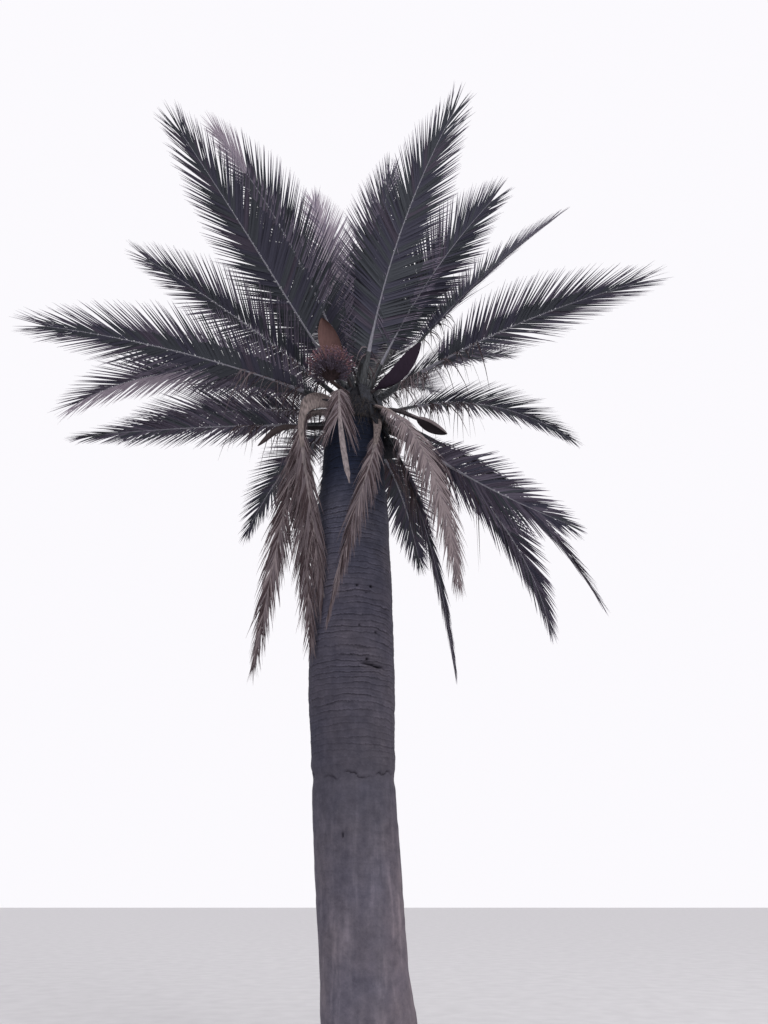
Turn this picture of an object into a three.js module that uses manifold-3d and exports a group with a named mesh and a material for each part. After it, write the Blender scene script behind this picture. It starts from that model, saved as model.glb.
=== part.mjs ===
// A Chilean wine palm: a stout grey column, the heart of leaf bases on top of it, and a crown of
// feather fronds, some live and some dead and hanging, with one flower cluster and its woody bracts.
// Millimetres, +Z up. The origin is the middle of the flat cut at ground level. The tree is seen from -Y:
// azimuths are counted from +X towards +Y, so 270 degrees points at the viewer.
import * as THREE from "three";
import { mergeVertices } from "three/addons/utils/BufferGeometryUtils.js";
import Module from "manifold-3d";

const wasm = await Module();
wasm.setup();

// Driving dimensions of the trunk
const trunkHeight = 6900;
const trunkLean = 270; // how far the axis has moved to -X where it stands upright again
const leanHeight = 2100; // over this height the lean dies away
const trunkSides = 26;
const trunkRings = 34;
const trunkProfile = [ // [height, radius]: foot flare, first column, waist, belly, shoulder and neck
  [0, 560], [120, 500], [420, 440], [900, 418], [1800, 424], [2480, 428], [2600, 418], [2760, 440],
  [3800, 475], [4700, 464], [5500, 438], [6300, 388], [trunkHeight, 366],
];

// Driving dimensions of the crown's heart, a dome of old and young leaf bases
const seatGap = 0.3; // left between pieces that touch
const heartHeight = 720;
const heartSides = 28;
const heartProfile = [ // [share of the height, radius]
  [0, 372], [0.12, 382], [0.3, 350], [0.52, 270], [0.74, 180], [0.92, 90], [1, 0],
];
const heartCentre = new THREE.Vector2(-225, 0);

// Driving dimensions shared by all fronds
const petioleShare = 0.13; // of the frond's length, bare of leaflets, where its row gives no other
const petioleSteps = 3;
const baseDepth = 70; // how far a petiole starts inside the heart before it is cut to it
const ribWidths = { base: 104, throat: 52, tip: 12 };
const ribHeights = { base: 54, throat: 34, tip: 9 };
const strapEnd = 0.2; // share of the length by which a wide dead petiole has narrowed to its rib
const rollEnd = 0.35; // share of the length by which a rolled blade has turned all the way; a strap is at once
const leafletLength = 730; // the longest ones, a third of the way out
const leafletTipShare = 0.32; // a leaflet's width at its tip as a share of its root
const leafletClearance = 2.5; // kept from every other piece
const shorterTries = [1, 0.8, 0.6, 0.42];

// How each kind of frond bends and carries its leaflets. curl is the power of the bend along the frond:
// over 1 it bends late, and well under 1 it is a knee at the petiole. spread is the leaflets' angle from
// the rib at the first and last, lift is their angle above the blade, fall is the pull of gravity, and tip
// is the length of the last ones as a share of the longest.
const kinds = {
  high: {
    curl: 1.3, leaflets: 18, spread: [64, 10],
    lift: 14, fall: 0.05, size: 1.1, tip: 0.5, live: true,
  },
  spreading: {
    curl: 1.2, leaflets: 18, spread: [64, 10],
    lift: 14, fall: 0.06, size: 1.05, tip: 0.5, live: true,
  },
  drooping: {
    curl: 0.9, leaflets: 18, spread: [56, 6],
    lift: 18, fall: 0.14, size: 0.86, tip: 0.4, live: true,
  },
  hanging: {
    curl: 0.6, leaflets: 18, spread: [44, 6],
    lift: 6, fall: 0.4, size: 0.66, tip: 0.36, live: true,
  },
  dead: {
    curl: 0.25, leaflets: 16, spread: [34, 8],
    lift: 4, fall: 0.55, size: 0.82, tip: 0.36, live: false,
  },
};

// One row for each frond: where it leaves the heart (azimuth and height above the heart's foot), its rise
// above level there, how far it has bent down at the tip, its length, how far it swings round to one side,
// and, where it has them: roll, the turn of its blade about the rib; curl, a power of its own; fold, the
// share of its length at which a dead petiole has folded over (instead of curl); hug, by which its leaflets
// keep closer to the rib; petiole, the bare share of its length; until, the share of the leafy part at which
// the leaflets end; strap and stub, the extra widths of a petiole that has flattened and of a rib's thick
// bare end.
const fronds = [
  { kind: "high", azimuth: 207, seat: 500, rise: 49, bend: 22, length: 3790, swing: 28, roll: -16 },
  { kind: "high", azimuth: 222, seat: 590, rise: 66, bend: 16, length: 4290, swing: -21, roll: -20 },
  { kind: "high", azimuth: 154, seat: 590, rise: 82, bend: 8, length: 3990, swing: 0, roll: 70 },
  { kind: "high", azimuth: 294, seat: 510, rise: 71, bend: 34, length: 3820, swing: 14, roll: 30 },
  { kind: "high", azimuth: 298, seat: 640, rise: 80, bend: 14, length: 3140, swing: 0 },
  { kind: "high", azimuth: 334, seat: 500, rise: 65, bend: 26, length: 3230, swing: -2, roll: 22 },
  { kind: "high", azimuth: 120, seat: 500, rise: 62, bend: 20, length: 3740, swing: 0 },
  { kind: "high", azimuth: 77, seat: 480, rise: 60, bend: 24, length: 3740, swing: 0 },
  { kind: "high", azimuth: 46, seat: 540, rise: 68, bend: 22, length: 3640, swing: 0 },
  {
    kind: "spreading", azimuth: 350, seat: 460, rise: 53, bend: 18, length: 3590, swing: -6,
    roll: -50, petiole: 0.32,
  },
  {
    kind: "spreading", azimuth: 328, seat: 345, rise: 20, bend: 24, curl: 0.95, length: 3520, swing: 3,
    roll: 5, petiole: 0.19,
  },
  { kind: "spreading", azimuth: 24, seat: 450, rise: 48, bend: 27, length: 2980, swing: 8, petiole: 0.18 },
  { kind: "spreading", azimuth: 206, seat: 330, rise: 8.3, bend: 18, length: 3620, swing: 0, roll: -23 },
  { kind: "spreading", azimuth: 188, seat: 430, rise: 41, bend: 13, length: 3360, swing: 6, roll: -22 },
  { kind: "spreading", azimuth: 184, seat: 290, rise: 34, bend: 68, length: 3720, swing: -8, roll: -12 },
  { kind: "spreading", azimuth: 160, seat: 310, rise: 20, bend: 32, length: 3290, swing: 4, roll: -12 },
  { kind: "spreading", azimuth: 142, seat: 420, rise: 42, bend: 30, length: 3640, swing: 0 },
  { kind: "spreading", azimuth: 100, seat: 360, rise: 36, bend: 40, length: 3640, swing: 0 },
  { kind: "spreading", azimuth: 66, seat: 390, rise: 50, bend: 28, length: 3540, swing: 0 },
  {
    kind: "drooping", azimuth: 16, seat: 268, rise: 31, bend: 51, curl: 1.2, length: 3250, swing: 11,
    petiole: 0.16,
  },
  { kind: "drooping", azimuth: 172, seat: 130, rise: 4, bend: 15, length: 3230, swing: 14, roll: -10 },
  {
    kind: "drooping", azimuth: 334, seat: 160, rise: -50, bend: -16, length: 3020, swing: 0,
    roll: 60, petiole: 0.28,
  },
  {
    kind: "drooping", azimuth: 353, seat: 190, rise: -24, bend: 42, length: 3650, swing: 0,
    roll: 2, hug: 0.7, petiole: 0.26,
  },
  {
    kind: "drooping", azimuth: 13, seat: 110, rise: -17, bend: 63, length: 3460, swing: 0,
    roll: 28, hug: 0.65, petiole: 0.3,
  },
  { kind: "drooping", azimuth: 128, seat: 220, rise: 20, bend: 54, length: 3110, swing: -6 },
  { kind: "drooping", azimuth: 60, seat: 110, rise: -10, bend: 28, length: 2400, swing: 16 },
  { kind: "hanging", azimuth: 345, seat: 60, rise: -60.5, bend: 24, length: 3380, swing: 0, roll: 25 },
  { kind: "hanging", azimuth: 92, seat: 130, rise: -5, bend: 62, length: 3650, swing: 0 },
  {
    kind: "dead", azimuth: 306, seat: 230, rise: -8, bend: 76, curl: 0.4, length: 3340, swing: 4,
    roll: -35, petiole: 0.14,
  },
  {
    kind: "dead", azimuth: 195, seat: 190, rise: 15, bend: 98.1, fold: 0.1, length: 3700, swing: -6,
    roll: 60, hug: 0.95,
  },
  {
    kind: "dead", azimuth: 214, seat: 110, rise: 10, bend: 106, fold: 0.14, length: 3420, swing: -16,
    roll: 50,
  },
  {
    kind: "dead", azimuth: 222, seat: 232, rise: 11, bend: 111.5, fold: 0.165, length: 3420, swing: -24,
    roll: 75, hug: 0.55, petiole: 0.29, strap: 150,
  },
  {
    kind: "dead", azimuth: 238, seat: 262, rise: 24, bend: 98, fold: 0.18, length: 2050, swing: 72,
    hug: 0.8, until: 0.4, stub: 70,
  },
  {
    kind: "dead", azimuth: 314, seat: 110, rise: -50, bend: 30, curl: 0.4, length: 3050, swing: -130,
    hug: 0.8, petiole: 0.2,
  },
  { kind: "dead", azimuth: 122, seat: 70, rise: 5, bend: 92, fold: 0.12, length: 3150, swing: 0 },
  { kind: "dead", azimuth: 84, seat: 50, rise: 5, bend: 94, fold: 0.12, length: 3250, swing: 0 },
];

// The woody bracts that hooded the flower clusters, each a boat on a stalk: its path from inside the heart
// to its tip, the share of the path that is stalk, the boat's width and depth, the way its open side faces,
// and how much of its depth is hollow.
const bracts = [
  {
    name: "flower_bract",
    path: [[-295, -130, 7460], [-400, -320, 7620], [-550, -430, 7880], [-706, -450, 8380]],
    stalk: 0.3, width: 270, depth: 90, open: [-0.1, -1, -0.3], hollow: 0.7,
  },
  {
    name: "closed_bract",
    path: [[-130, -105, 7330], [0, -225, 7385], [250, -260, 7550], [610, -230, 8150]],
    stalk: 0.2, width: 205, depth: 150, open: [0.3, -1, 0], hollow: 0,
  },
  {
    name: "old_bract",
    path: [[-60, -160, 7060], [200, -430, 6960], [505, -620, 6720], [873, -640, 6470]],
    stalk: 0.68, width: 140, depth: 120, open: [0, -0.3, -1], hollow: 0.55,
  },
  {
    name: "side_bract",
    path: [[-430, -10, 6950], [-800, -20, 6930], [-1190, -10, 6940], [-1500, 10, 6690]],
    stalk: 0.55, width: 90, depth: 60, open: [0, 0, 1], hollow: 0,
  },
];
const bractSteps = 12;
const bractSides = 5; // on the outer face, and as many on the inner one

// The flower cluster, a burr of spikes on a stalk, and the pad of old leaf bases beside the neck
const clusterCentre = new THREE.Vector3(-555, -680, 7440);
const clusterRadius = 262;
const clusterStalk = [[-320, -180, 7330], [-450, -430, 7290], [-530, -620, 7350]];
const padCentre = new THREE.Vector3(155, 160, 6745);
const padSize = new THREE.Vector3(330, 330, 210);

const radians = THREE.MathUtils.degToRad;
const lerp = THREE.MathUtils.lerp;
const up = new THREE.Vector3(0, 0, 1);

// The value at x of a table of [x, value] rows, eased between rows so that a profile has no corners
function along(table, x) {
  for (let i = 1; i < table.length; i += 1) {
    const [x0, v0] = table[i - 1];
    const [x1, v1] = table[i];
    if (x <= x1) return lerp(v0, v1, THREE.MathUtils.smoothstep(x, x0, x1));
  }
  return table[table.length - 1][1];
}

function geometryFrom(points, triangles) {
  const geometry = new THREE.BufferGeometry();
  geometry.setAttribute("position", new THREE.Float32BufferAttribute(points.flatMap((p) => p.toArray()), 3));
  geometry.setIndex(triangles.flat());
  return geometry;
}

function solidFrom(geometry) {
  const bare = geometry.clone();
  for (const name of Object.keys(bare.attributes)) {
    if (name !== "position") bare.deleteAttribute(name);
  }
  const merged = mergeVertices(bare, 1e-3);
  return new wasm.Manifold(new wasm.Mesh({
    numProp: 3,
    vertProperties: new Float32Array(merged.attributes.position.array),
    triVerts: new Uint32Array(merged.index.array),
  }));
}

function geometryOf(solid) {
  const mesh = solid.getMesh();
  const geometry = new THREE.BufferGeometry();
  geometry.setAttribute("position", new THREE.BufferAttribute(mesh.vertProperties, 3));
  geometry.setIndex(new THREE.BufferAttribute(mesh.triVerts, 1));
  return geometry;
}

// A closed skin over rings of equal point counts, each ring a loop seen anticlockwise from ahead
function loft(rings) {
  const count = rings[0].length;
  const points = rings.flat();
  const triangles = [];
  for (let i = 0; i + 1 < rings.length; i += 1) {
    for (let j = 0; j < count; j += 1) {
      const a = i * count + j;
      const b = i * count + ((j + 1) % count);
      triangles.push([a, b, b + count], [a, b + count, a + count]);
    }
  }
  const last = (rings.length - 1) * count;
  for (let j = 1; j + 1 < count; j += 1) {
    triangles.push([0, j + 1, j], [last, last + j, last + j + 1]);
  }
  return geometryFrom(points, triangles);
}

// The trunk
function trunkAxis(z) {
  return new THREE.Vector2(-trunkLean * (1 - Math.exp(-((z / leanHeight) ** 1.4))), 0);
}

function trunkGeometry(grow = 0) {
  const rings = [];
  for (let i = 0; i <= trunkRings; i += 1) {
    const z = (trunkHeight + 2 * grow) * (i / trunkRings) ** 1.12;
    const centre = trunkAxis(z);
    const radius = along(trunkProfile, z) + grow;
    const ring = [];
    for (let j = 0; j < trunkSides; j += 1) {
      const a = (2 * Math.PI * j) / trunkSides;
      ring.push(new THREE.Vector3(centre.x + radius * Math.cos(a), centre.y + radius * Math.sin(a), z));
    }
    rings.push(ring);
  }
  return loft(rings);
}

// The heart, and the same shape grown by a gap, which cuts whatever is seated on it
function heartGeometry(grow = 0) {
  const outline = [new THREE.Vector2(0, -grow)];
  for (const [share, radius] of heartProfile.slice(0, -1)) {
    const height = share === 0 ? -grow : share * heartHeight;
    outline.push(new THREE.Vector2(radius + grow, height));
  }
  outline.push(new THREE.Vector2(0, heartHeight + grow));
  const geometry = new THREE.LatheGeometry(outline, heartSides);
  geometry.rotateX(Math.PI / 2);
  geometry.translate(heartCentre.x, heartCentre.y, trunkHeight + seatGap);
  return geometry;
}

const stemCutter = solidFrom(heartGeometry(seatGap)).add(solidFrom(trunkGeometry(seatGap)));

function seatPoint(azimuth, seat, inset = baseDepth) {
  const radius = along(heartProfile, seat / heartHeight) - inset;
  return new THREE.Vector3(
    heartCentre.x + radius * Math.cos(radians(azimuth)),
    heartCentre.y + radius * Math.sin(radians(azimuth)),
    trunkHeight + seat,
  );
}

// A frond's rib: stations along its curve, each with its place, its axes and its size. The curve starts at
// the seat, and its slope is rise - bend * s ** curl, with s from 0 at the seat to 1 at the tip.
function ribStations(frond) {
  const kind = kinds[frond.kind];
  const petiole = frond.petiole ?? petioleShare;
  const shares = [];
  for (let i = 0; i < petioleSteps; i += 1) shares.push((petiole * i) / petioleSteps);
  for (let i = 0; i <= kind.leaflets; i += 1) {
    shares.push(lerp(petiole, 1, i / kind.leaflets));
  }
  const fine = 12; // parts of each step over which the slope is added up
  const place = seatPoint(frond.azimuth, frond.seat);
  let s = 0;
  return shares.map((share) => {
    const step = (share - s) / fine;
    for (let k = 0; k < fine; k += 1) {
      place.addScaledVector(slopeAt(frond, kind, s + step / 2).along, step * frond.length);
      s += step;
    }
    const { along: ahead, side } = slopeAt(frond, kind, Math.max(share, 0.004));
    const top = new THREE.Vector3().crossVectors(side, ahead);
    const turned = frond.strap ? 1 : THREE.MathUtils.smoothstep(share, 0, rollEnd);
    const roll = radians(frond.roll ?? 0) * turned;
    const across = side.clone().multiplyScalar(Math.cos(roll)).addScaledVector(top, Math.sin(roll));
    top.crossVectors(across, ahead);
    const bare = Math.min(share / petiole, 1);
    const leafy = Math.max((share - petiole) / (1 - petiole), 0);
    const strap = (frond.strap ?? 0) * Math.sin(Math.PI * Math.min(share / strapEnd, 1));
    const stub = (frond.stub ?? 0) * THREE.MathUtils.smoothstep(share, 0.2, 0.8);
    const width = lerp(lerp(ribWidths.base, ribWidths.throat, bare), ribWidths.tip, leafy) + strap + stub;
    const height = lerp(lerp(ribHeights.base, ribHeights.throat, bare), ribHeights.tip, leafy);
    return { place: place.clone(), ahead, across, top, width, height, share, leafy };
  });
}

function slopeAt(frond, kind, s) {
  const bent = frond.fold ? 1 - Math.exp(-((s / frond.fold) ** 2)) : s ** (frond.curl ?? kind.curl);
  const slope = radians(frond.rise - frond.bend * bent);
  const heading = radians(frond.azimuth + frond.swing * Math.sqrt(s));
  return {
    along: new THREE.Vector3(
      Math.cos(slope) * Math.cos(heading), Math.cos(slope) * Math.sin(heading), Math.sin(slope),
    ),
    side: new THREE.Vector3(Math.sin(heading), -Math.cos(heading), 0),
  };
}

// The four corners of the rib at a station: top right, top left, bottom left and bottom right
function ribCorners({ place, across, top, width, height }) {
  const corner = (x, y) => {
    const edge = place.clone().addScaledVector(across, x * width / 2);
    return edge.addScaledVector(top, y * height / 2);
  };
  return [corner(1, 1), corner(-1, 1), corner(-1, -1), corner(1, -1)];
}

// A leaflet's length along the leafy part: it grows fast to a third of the way, then shortens near the tip
function leafletReach(kind, leafy) {
  const grown = leafy < 0.3
    ? lerp(0.4, 1, Math.sin((leafy / 0.3) * Math.PI / 2))
    : lerp(1, kind.tip, ((leafy - 0.3) / 0.7) ** 2.6);
  return leafletLength * kind.size * grown;
}

// The two ends of a leaflet's tip edge, for the leaflet that fills the step from station a to station b on
// one side of the rib (1 is right, -1 is left)
function leafletTip(frond, a, b, hand, share) {
  const kind = kinds[frond.kind];
  const leafy = (a.leafy + b.leafy) / 2;
  const spread = radians(lerp(kind.spread[0], kind.spread[1], leafy ** 1.3) * (frond.hug ?? 1));
  const lift = radians(kind.lift);
  const out = a.across.clone().multiplyScalar(hand * Math.cos(lift)).addScaledVector(a.top, Math.sin(lift));
  const way = a.ahead.clone().multiplyScalar(Math.cos(spread)).addScaledVector(out, Math.sin(spread));
  way.addScaledVector(up, -kind.fall).normalize();
  const root = a.place.clone().add(b.place).multiplyScalar(0.5);
  root.addScaledVector(a.across, hand * (a.width + b.width) / 4);
  const end = root.addScaledVector(way, leafletReach(kind, leafy) * share);
  const half = a.place.distanceTo(b.place) * leafletTipShare / 2;
  return [end.clone().addScaledVector(a.ahead, -half), end.addScaledVector(a.ahead, half)];
}

// A convex block for the clearance test: its corners, the directions to test, and a ball round it
function blockOf(corners) {
  const centre = new THREE.Vector3();
  for (const p of corners) centre.addScaledVector(p, 1 / corners.length);
  const radius = Math.max(...corners.map((p) => p.distanceTo(centre)));
  const edges = [];
  for (const [i, j] of [[0, 1], [1, 2], [0, corners.length - 1], [1, corners.length - 2], [2, 4], [3, 5]]) {
    edges.push(corners[j].clone().sub(corners[i]));
  }
  const faces = [];
  for (let i = 0; i < edges.length; i += 1) {
    for (let j = i + 1; j < edges.length; j += 1) {
      faces.push(edges[i].clone().cross(edges[j]));
    }
  }
  return { corners, centre, radius, edges, faces };
}

// True if some direction keeps two blocks at least the gap apart
function apart(a, b, gap) {
  if (a.centre.distanceTo(b.centre) > a.radius + b.radius + gap) return true;
  const clearAlong = (axis) => {
    const size = axis.length();
    if (size < 1e-6) return false;
    const of = (block) => block.corners.map((p) => p.dot(axis) / size);
    const [pa, pb] = [of(a), of(b)];
    return Math.min(...pa) - Math.max(...pb) > gap || Math.min(...pb) - Math.max(...pa) > gap;
  };
  if (clearAlong(a.centre.clone().sub(b.centre))) return true;
  if (a.faces.some(clearAlong) || b.faces.some(clearAlong)) return true;
  return a.edges.some((e) => b.edges.some((f) => clearAlong(e.clone().cross(f))));
}

// True if a point is clear of the trunk and of the heart
function clearOfStem(p) {
  const z = p.z - trunkHeight;
  const [centre, radius] = z < 0
    ? [trunkAxis(p.z), along(trunkProfile, p.z)]
    : [heartCentre, z < heartHeight ? along(heartProfile, z / heartHeight) : 0];
  return Math.hypot(p.x - centre.x, p.y - centre.y) > radius + leafletClearance * 2;
}

// All ribs come first, and then the leaflets one frond after the other, so that a leaflet is shortened or
// left out where it would meet a rib, the stem or a leaflet that is already there.
function plannedFronds(others) {
  const plans = fronds.map((frond) => {
    const stations = ribStations(frond);
    const corners = stations.map(ribCorners);
    const ribs = corners.slice(1).map((ring, i) => blockOf([...corners[i], ...ring]));
    return { frond, stations, corners, ribs, blocks: [...ribs], leaflets: [] };
  });
  for (const plan of plans) {
    const rest = [...others, ...plans.filter((other) => other !== plan).flatMap((other) => other.blocks)];
    for (let i = petioleSteps; i + 1 < plan.stations.length; i += 1) {
      if (plan.stations[i].leafy > (plan.frond.until ?? 1)) break;
      for (const hand of [1, -1]) {
        const [near, far] = [plan.stations[i], plan.stations[i + 1]];
        const [t0, t1, b0, b1] = hand > 0
          ? [plan.corners[i][0], plan.corners[i + 1][0], plan.corners[i][3], plan.corners[i + 1][3]]
          : [plan.corners[i][1], plan.corners[i + 1][1], plan.corners[i][2], plan.corners[i + 1][2]];
        for (const share of shorterTries) {
          const [e0, e1] = leafletTip(plan.frond, near, far, hand, share);
          const block = blockOf([t0, b0, e0, e1, b1, t1]);
          const tries = [0.3, 0.6, 1].flatMap((k) => [t0.clone().lerp(e0, k), t1.clone().lerp(e1, k)]);
          if (tries.every(clearOfStem) && rest.every((other) => apart(block, other, leafletClearance))) {
            plan.leaflets.push({ i, hand, e0, e1 });
            plan.blocks.push(block);
            break;
          }
        }
      }
    }
  }
  return plans;
}

// One closed skin: the rib, with each side wall that carries a leaflet drawn out to the leaflet's tip edge
function frondGeometry({ stations, corners, leaflets }) {
  const points = corners.flat();
  const triangles = [];
  const drawn = new Map(leaflets.map((leaf) => [`${leaf.i} ${leaf.hand}`, leaf]));
  for (let i = 0; i + 1 < stations.length; i += 1) {
    const [a, b] = [4 * i, 4 * (i + 1)];
    triangles.push([a, b, b + 1], [a, b + 1, a + 1]);
    triangles.push([a + 2, b + 2, b + 3], [a + 2, b + 3, a + 3]);
    for (const [hand, top, bottom] of [[1, 0, 3], [-1, 1, 2]]) {
      const leaf = drawn.get(`${i} ${hand}`);
      const [t0, t1, b0, b1] = [a + top, b + top, a + bottom, b + bottom];
      const wall = [];
      if (leaf) {
        const e0 = points.push(leaf.e0) - 1;
        const e1 = points.push(leaf.e1) - 1;
        wall.push([t0, e0, e1], [t0, e1, t1], [b0, e1, e0], [b0, b1, e1], [t0, b0, e0], [t1, e1, b1]);
      } else {
        wall.push([t0, b0, b1], [t0, b1, t1]);
      }
      for (const [p, q, r] of wall) triangles.push(hand > 0 ? [p, q, r] : [p, r, q]);
    }
  }
  const last = 4 * (stations.length - 1);
  triangles.push([0, 1, 2], [0, 2, 3], [last, last + 2, last + 1], [last, last + 3, last + 2]);
  return geometryFrom(points, triangles);
}

// Stations along a path of given points, with the same members as a rib's: open is the way the top faces
function pathStations(path, open, steps, sizeAt) {
  const curve = new THREE.CatmullRomCurve3(path.map((p) => new THREE.Vector3(...p)), false, "centripetal");
  const facing = new THREE.Vector3(...open);
  return Array.from({ length: steps + 1 }, (_, i) => {
    const share = i / steps;
    const ahead = curve.getTangentAt(share);
    const across = new THREE.Vector3().crossVectors(facing, ahead).normalize();
    const top = new THREE.Vector3().crossVectors(ahead, across);
    const [width, height] = sizeAt(share);
    return { place: curve.getPointAt(share), ahead, across, top, width, height, share };
  });
}

// A boat on a stalk: the outer face is an arc, and the inner one is a flatter arc by its share of hollow
function bractStations({ path, open, stalk, width, depth }) {
  return pathStations(path, open, bractSteps, (share) => {
    const boat = THREE.MathUtils.clamp((share - stalk) / (1 - stalk), 0, 1);
    const swell = Math.sin(Math.PI * boat ** 0.8) ** 0.75;
    return [lerp(34 * (1 - boat) + 8, width, swell), lerp(34 * (1 - boat) + 8, depth, swell)];
  });
}

function bractGeometry(bract) {
  const rings = bractStations(bract).map(({ place, across, top, width, height, share }) => {
    const opened = THREE.MathUtils.clamp((share - bract.stalk) * 4, 0, 1);
    const dent = lerp(-0.35, bract.hollow, opened);
    const ring = [];
    const at = (x, y) => {
      const edge = place.clone().addScaledVector(across, x * width / 2);
      return edge.addScaledVector(top, y * height);
    };
    for (let k = 0; k <= bractSides; k += 1) {
      const a = (Math.PI * k) / bractSides;
      ring.push(at(-Math.cos(a), 0.5 - Math.sin(a)));
    }
    for (let k = bractSides - 1; k > 0; k -= 1) {
      const a = (Math.PI * k) / bractSides;
      ring.push(at(-Math.cos(a), 0.5 - Math.sin(a) * dent));
    }
    return ring;
  });
  return loft(rings);
}

function blocksAlong(stations) {
  const corners = stations.map(ribCorners);
  return corners.slice(1).map((ring, i) => blockOf([...corners[i], ...ring]));
}

// The burr: a ball of facets whose corners stand out and in by turns, joined to its stalk
function clusterSolid() {
  const facets = new THREE.IcosahedronGeometry(clusterRadius, 4);
  facets.deleteAttribute("uv");
  facets.deleteAttribute("normal");
  const ball = mergeVertices(facets, 1);
  const at = ball.attributes.position;
  for (let i = 0; i < at.count; i += 1) {
    const p = new THREE.Vector3().fromBufferAttribute(at, i);
    const out = i % 3 === 0 ? 1.12 : 0.84;
    p.multiplyScalar(out * lerp(0.9, 1, Math.abs(Math.sin(i * 2.4))));
    p.multiply(new THREE.Vector3(1.1, 1, 0.86));
    at.setXYZ(i, p.x, p.y, p.z);
  }
  ball.translate(...clusterCentre);
  return solidFrom(ball).add(solidFrom(loft(clusterStalkStations().map(ribCorners))));
}

function clusterStalkStations() {
  return pathStations(clusterStalk, [0, 0, 1], 5, () => [60, 60]);
}

// The pad: a rough block with its edges drawn in, cut to the neck and the heart
function padSolid() {
  const rings = [-0.5, -0.36, 0, 0.36, 0.5].map((share) => {
    const draw = 1 - 0.5 * (2 * share) ** 4;
    const place = padCentre.clone().addScaledVector(up, share * padSize.z);
    return Array.from({ length: 10 }, (_, k) => {
      const a = (2 * Math.PI * k) / 10;
      const x = Math.sign(Math.cos(a)) * Math.abs(Math.cos(a)) ** 0.6;
      const y = Math.sign(Math.sin(a)) * Math.abs(Math.sin(a)) ** 0.6;
      return place.clone().add(new THREE.Vector3(x * padSize.x / 2 * draw, y * padSize.y / 2 * draw, 0));
    });
  });
  return solidFrom(loft(rings));
}

const materials = {
  bark: new THREE.MeshStandardMaterial({ color: 0x5b575c, roughness: 0.9, metalness: 0 }),
  heart: new THREE.MeshStandardMaterial({ color: 0x3b332c, roughness: 0.95, metalness: 0 }),
  live: new THREE.MeshStandardMaterial({ color: 0x3c4640, roughness: 0.6, metalness: 0 }),
  dead: new THREE.MeshStandardMaterial({ color: 0x7c6d62, roughness: 0.85, metalness: 0 }),
  flower: new THREE.MeshStandardMaterial({ color: 0x4a2630, roughness: 0.8, metalness: 0 }),
  bract: new THREE.MeshStandardMaterial({ color: 0x8a4a2e, roughness: 0.75, metalness: 0 }),
};

const palm = new THREE.Group();

function addPiece(name, solid, material) {
  const mesh = new THREE.Mesh(geometryOf(solid), material);
  mesh.name = name;
  palm.add(mesh);
}

addPiece("trunk", solidFrom(trunkGeometry()), materials.bark);
addPiece("crown_heart", solidFrom(heartGeometry()), materials.heart);
addPiece("leaf_base_pad", padSolid().subtract(stemCutter), materials.heart);
addPiece("flower_cluster", clusterSolid().subtract(stemCutter), materials.flower);
for (const bract of bracts) {
  addPiece(bract.name, solidFrom(bractGeometry(bract)).subtract(stemCutter), materials.bract);
}

const reach = clusterRadius * 1.2;
const upright = { across: new THREE.Vector3(1, 0, 0), top: new THREE.Vector3(0, 1, 0) };
const padBox = [-0.5, 0.5].map((share) => ribCorners({
  ...upright,
  place: padCentre.clone().addScaledVector(up, share * padSize.z),
  width: padSize.x,
  height: padSize.y,
}));
const clusterBox = [-0.9, 0.9].map((share) => ribCorners({
  ...upright,
  place: clusterCentre.clone().addScaledVector(up, share * reach),
  width: reach * 1.5,
  height: reach * 1.4,
}));
const others = [
  blockOf(padBox.flat()), blockOf(clusterBox.flat()), ...blocksAlong(clusterStalkStations()),
  ...bracts.flatMap((bract) => blocksAlong(bractStations(bract))),
];
const counts = {};
for (const plan of plannedFronds(others)) {
  const { kind } = plan.frond;
  counts[kind] = (counts[kind] ?? 0) + 1;
  const solid = solidFrom(frondGeometry(plan)).subtract(stemCutter);
  addPiece(`${kind}_frond_${counts[kind]}`, solid, kinds[kind].live ? materials.live : materials.dead);
}

export default palm;
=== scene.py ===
import math

import bpy
import numpy as np
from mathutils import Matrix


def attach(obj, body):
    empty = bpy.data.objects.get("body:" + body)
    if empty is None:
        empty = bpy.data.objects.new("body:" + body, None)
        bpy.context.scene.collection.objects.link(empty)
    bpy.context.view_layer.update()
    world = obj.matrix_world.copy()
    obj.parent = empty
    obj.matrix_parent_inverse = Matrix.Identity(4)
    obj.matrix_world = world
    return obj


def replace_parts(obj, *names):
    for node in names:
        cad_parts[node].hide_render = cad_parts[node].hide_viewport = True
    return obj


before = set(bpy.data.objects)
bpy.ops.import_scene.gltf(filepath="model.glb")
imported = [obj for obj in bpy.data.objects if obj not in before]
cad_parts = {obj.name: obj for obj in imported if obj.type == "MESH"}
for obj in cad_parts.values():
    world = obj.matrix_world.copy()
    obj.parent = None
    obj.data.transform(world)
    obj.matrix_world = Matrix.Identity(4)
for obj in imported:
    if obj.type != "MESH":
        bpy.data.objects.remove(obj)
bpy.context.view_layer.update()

# The viewer stands 8.6 m in front of the trunk with the lens at eye height and tilts it up by 26 degrees,
# so that the whole crown is in the frame and the foot of the trunk is just below it.
lens = bpy.data.cameras.new("lens")
lens.lens = 27.42
lens.sensor_width = 36
lens.clip_end = 400
viewer = bpy.data.objects.new("viewer", lens)
viewer.location = (0.1175, -8.6, 1.55)
viewer.rotation_euler = (math.radians(90 + 26), 0, 0)
bpy.context.scene.collection.objects.link(viewer)
bpy.context.scene.camera = viewer
bpy.context.scene.view_settings.view_transform = "Standard"

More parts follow.
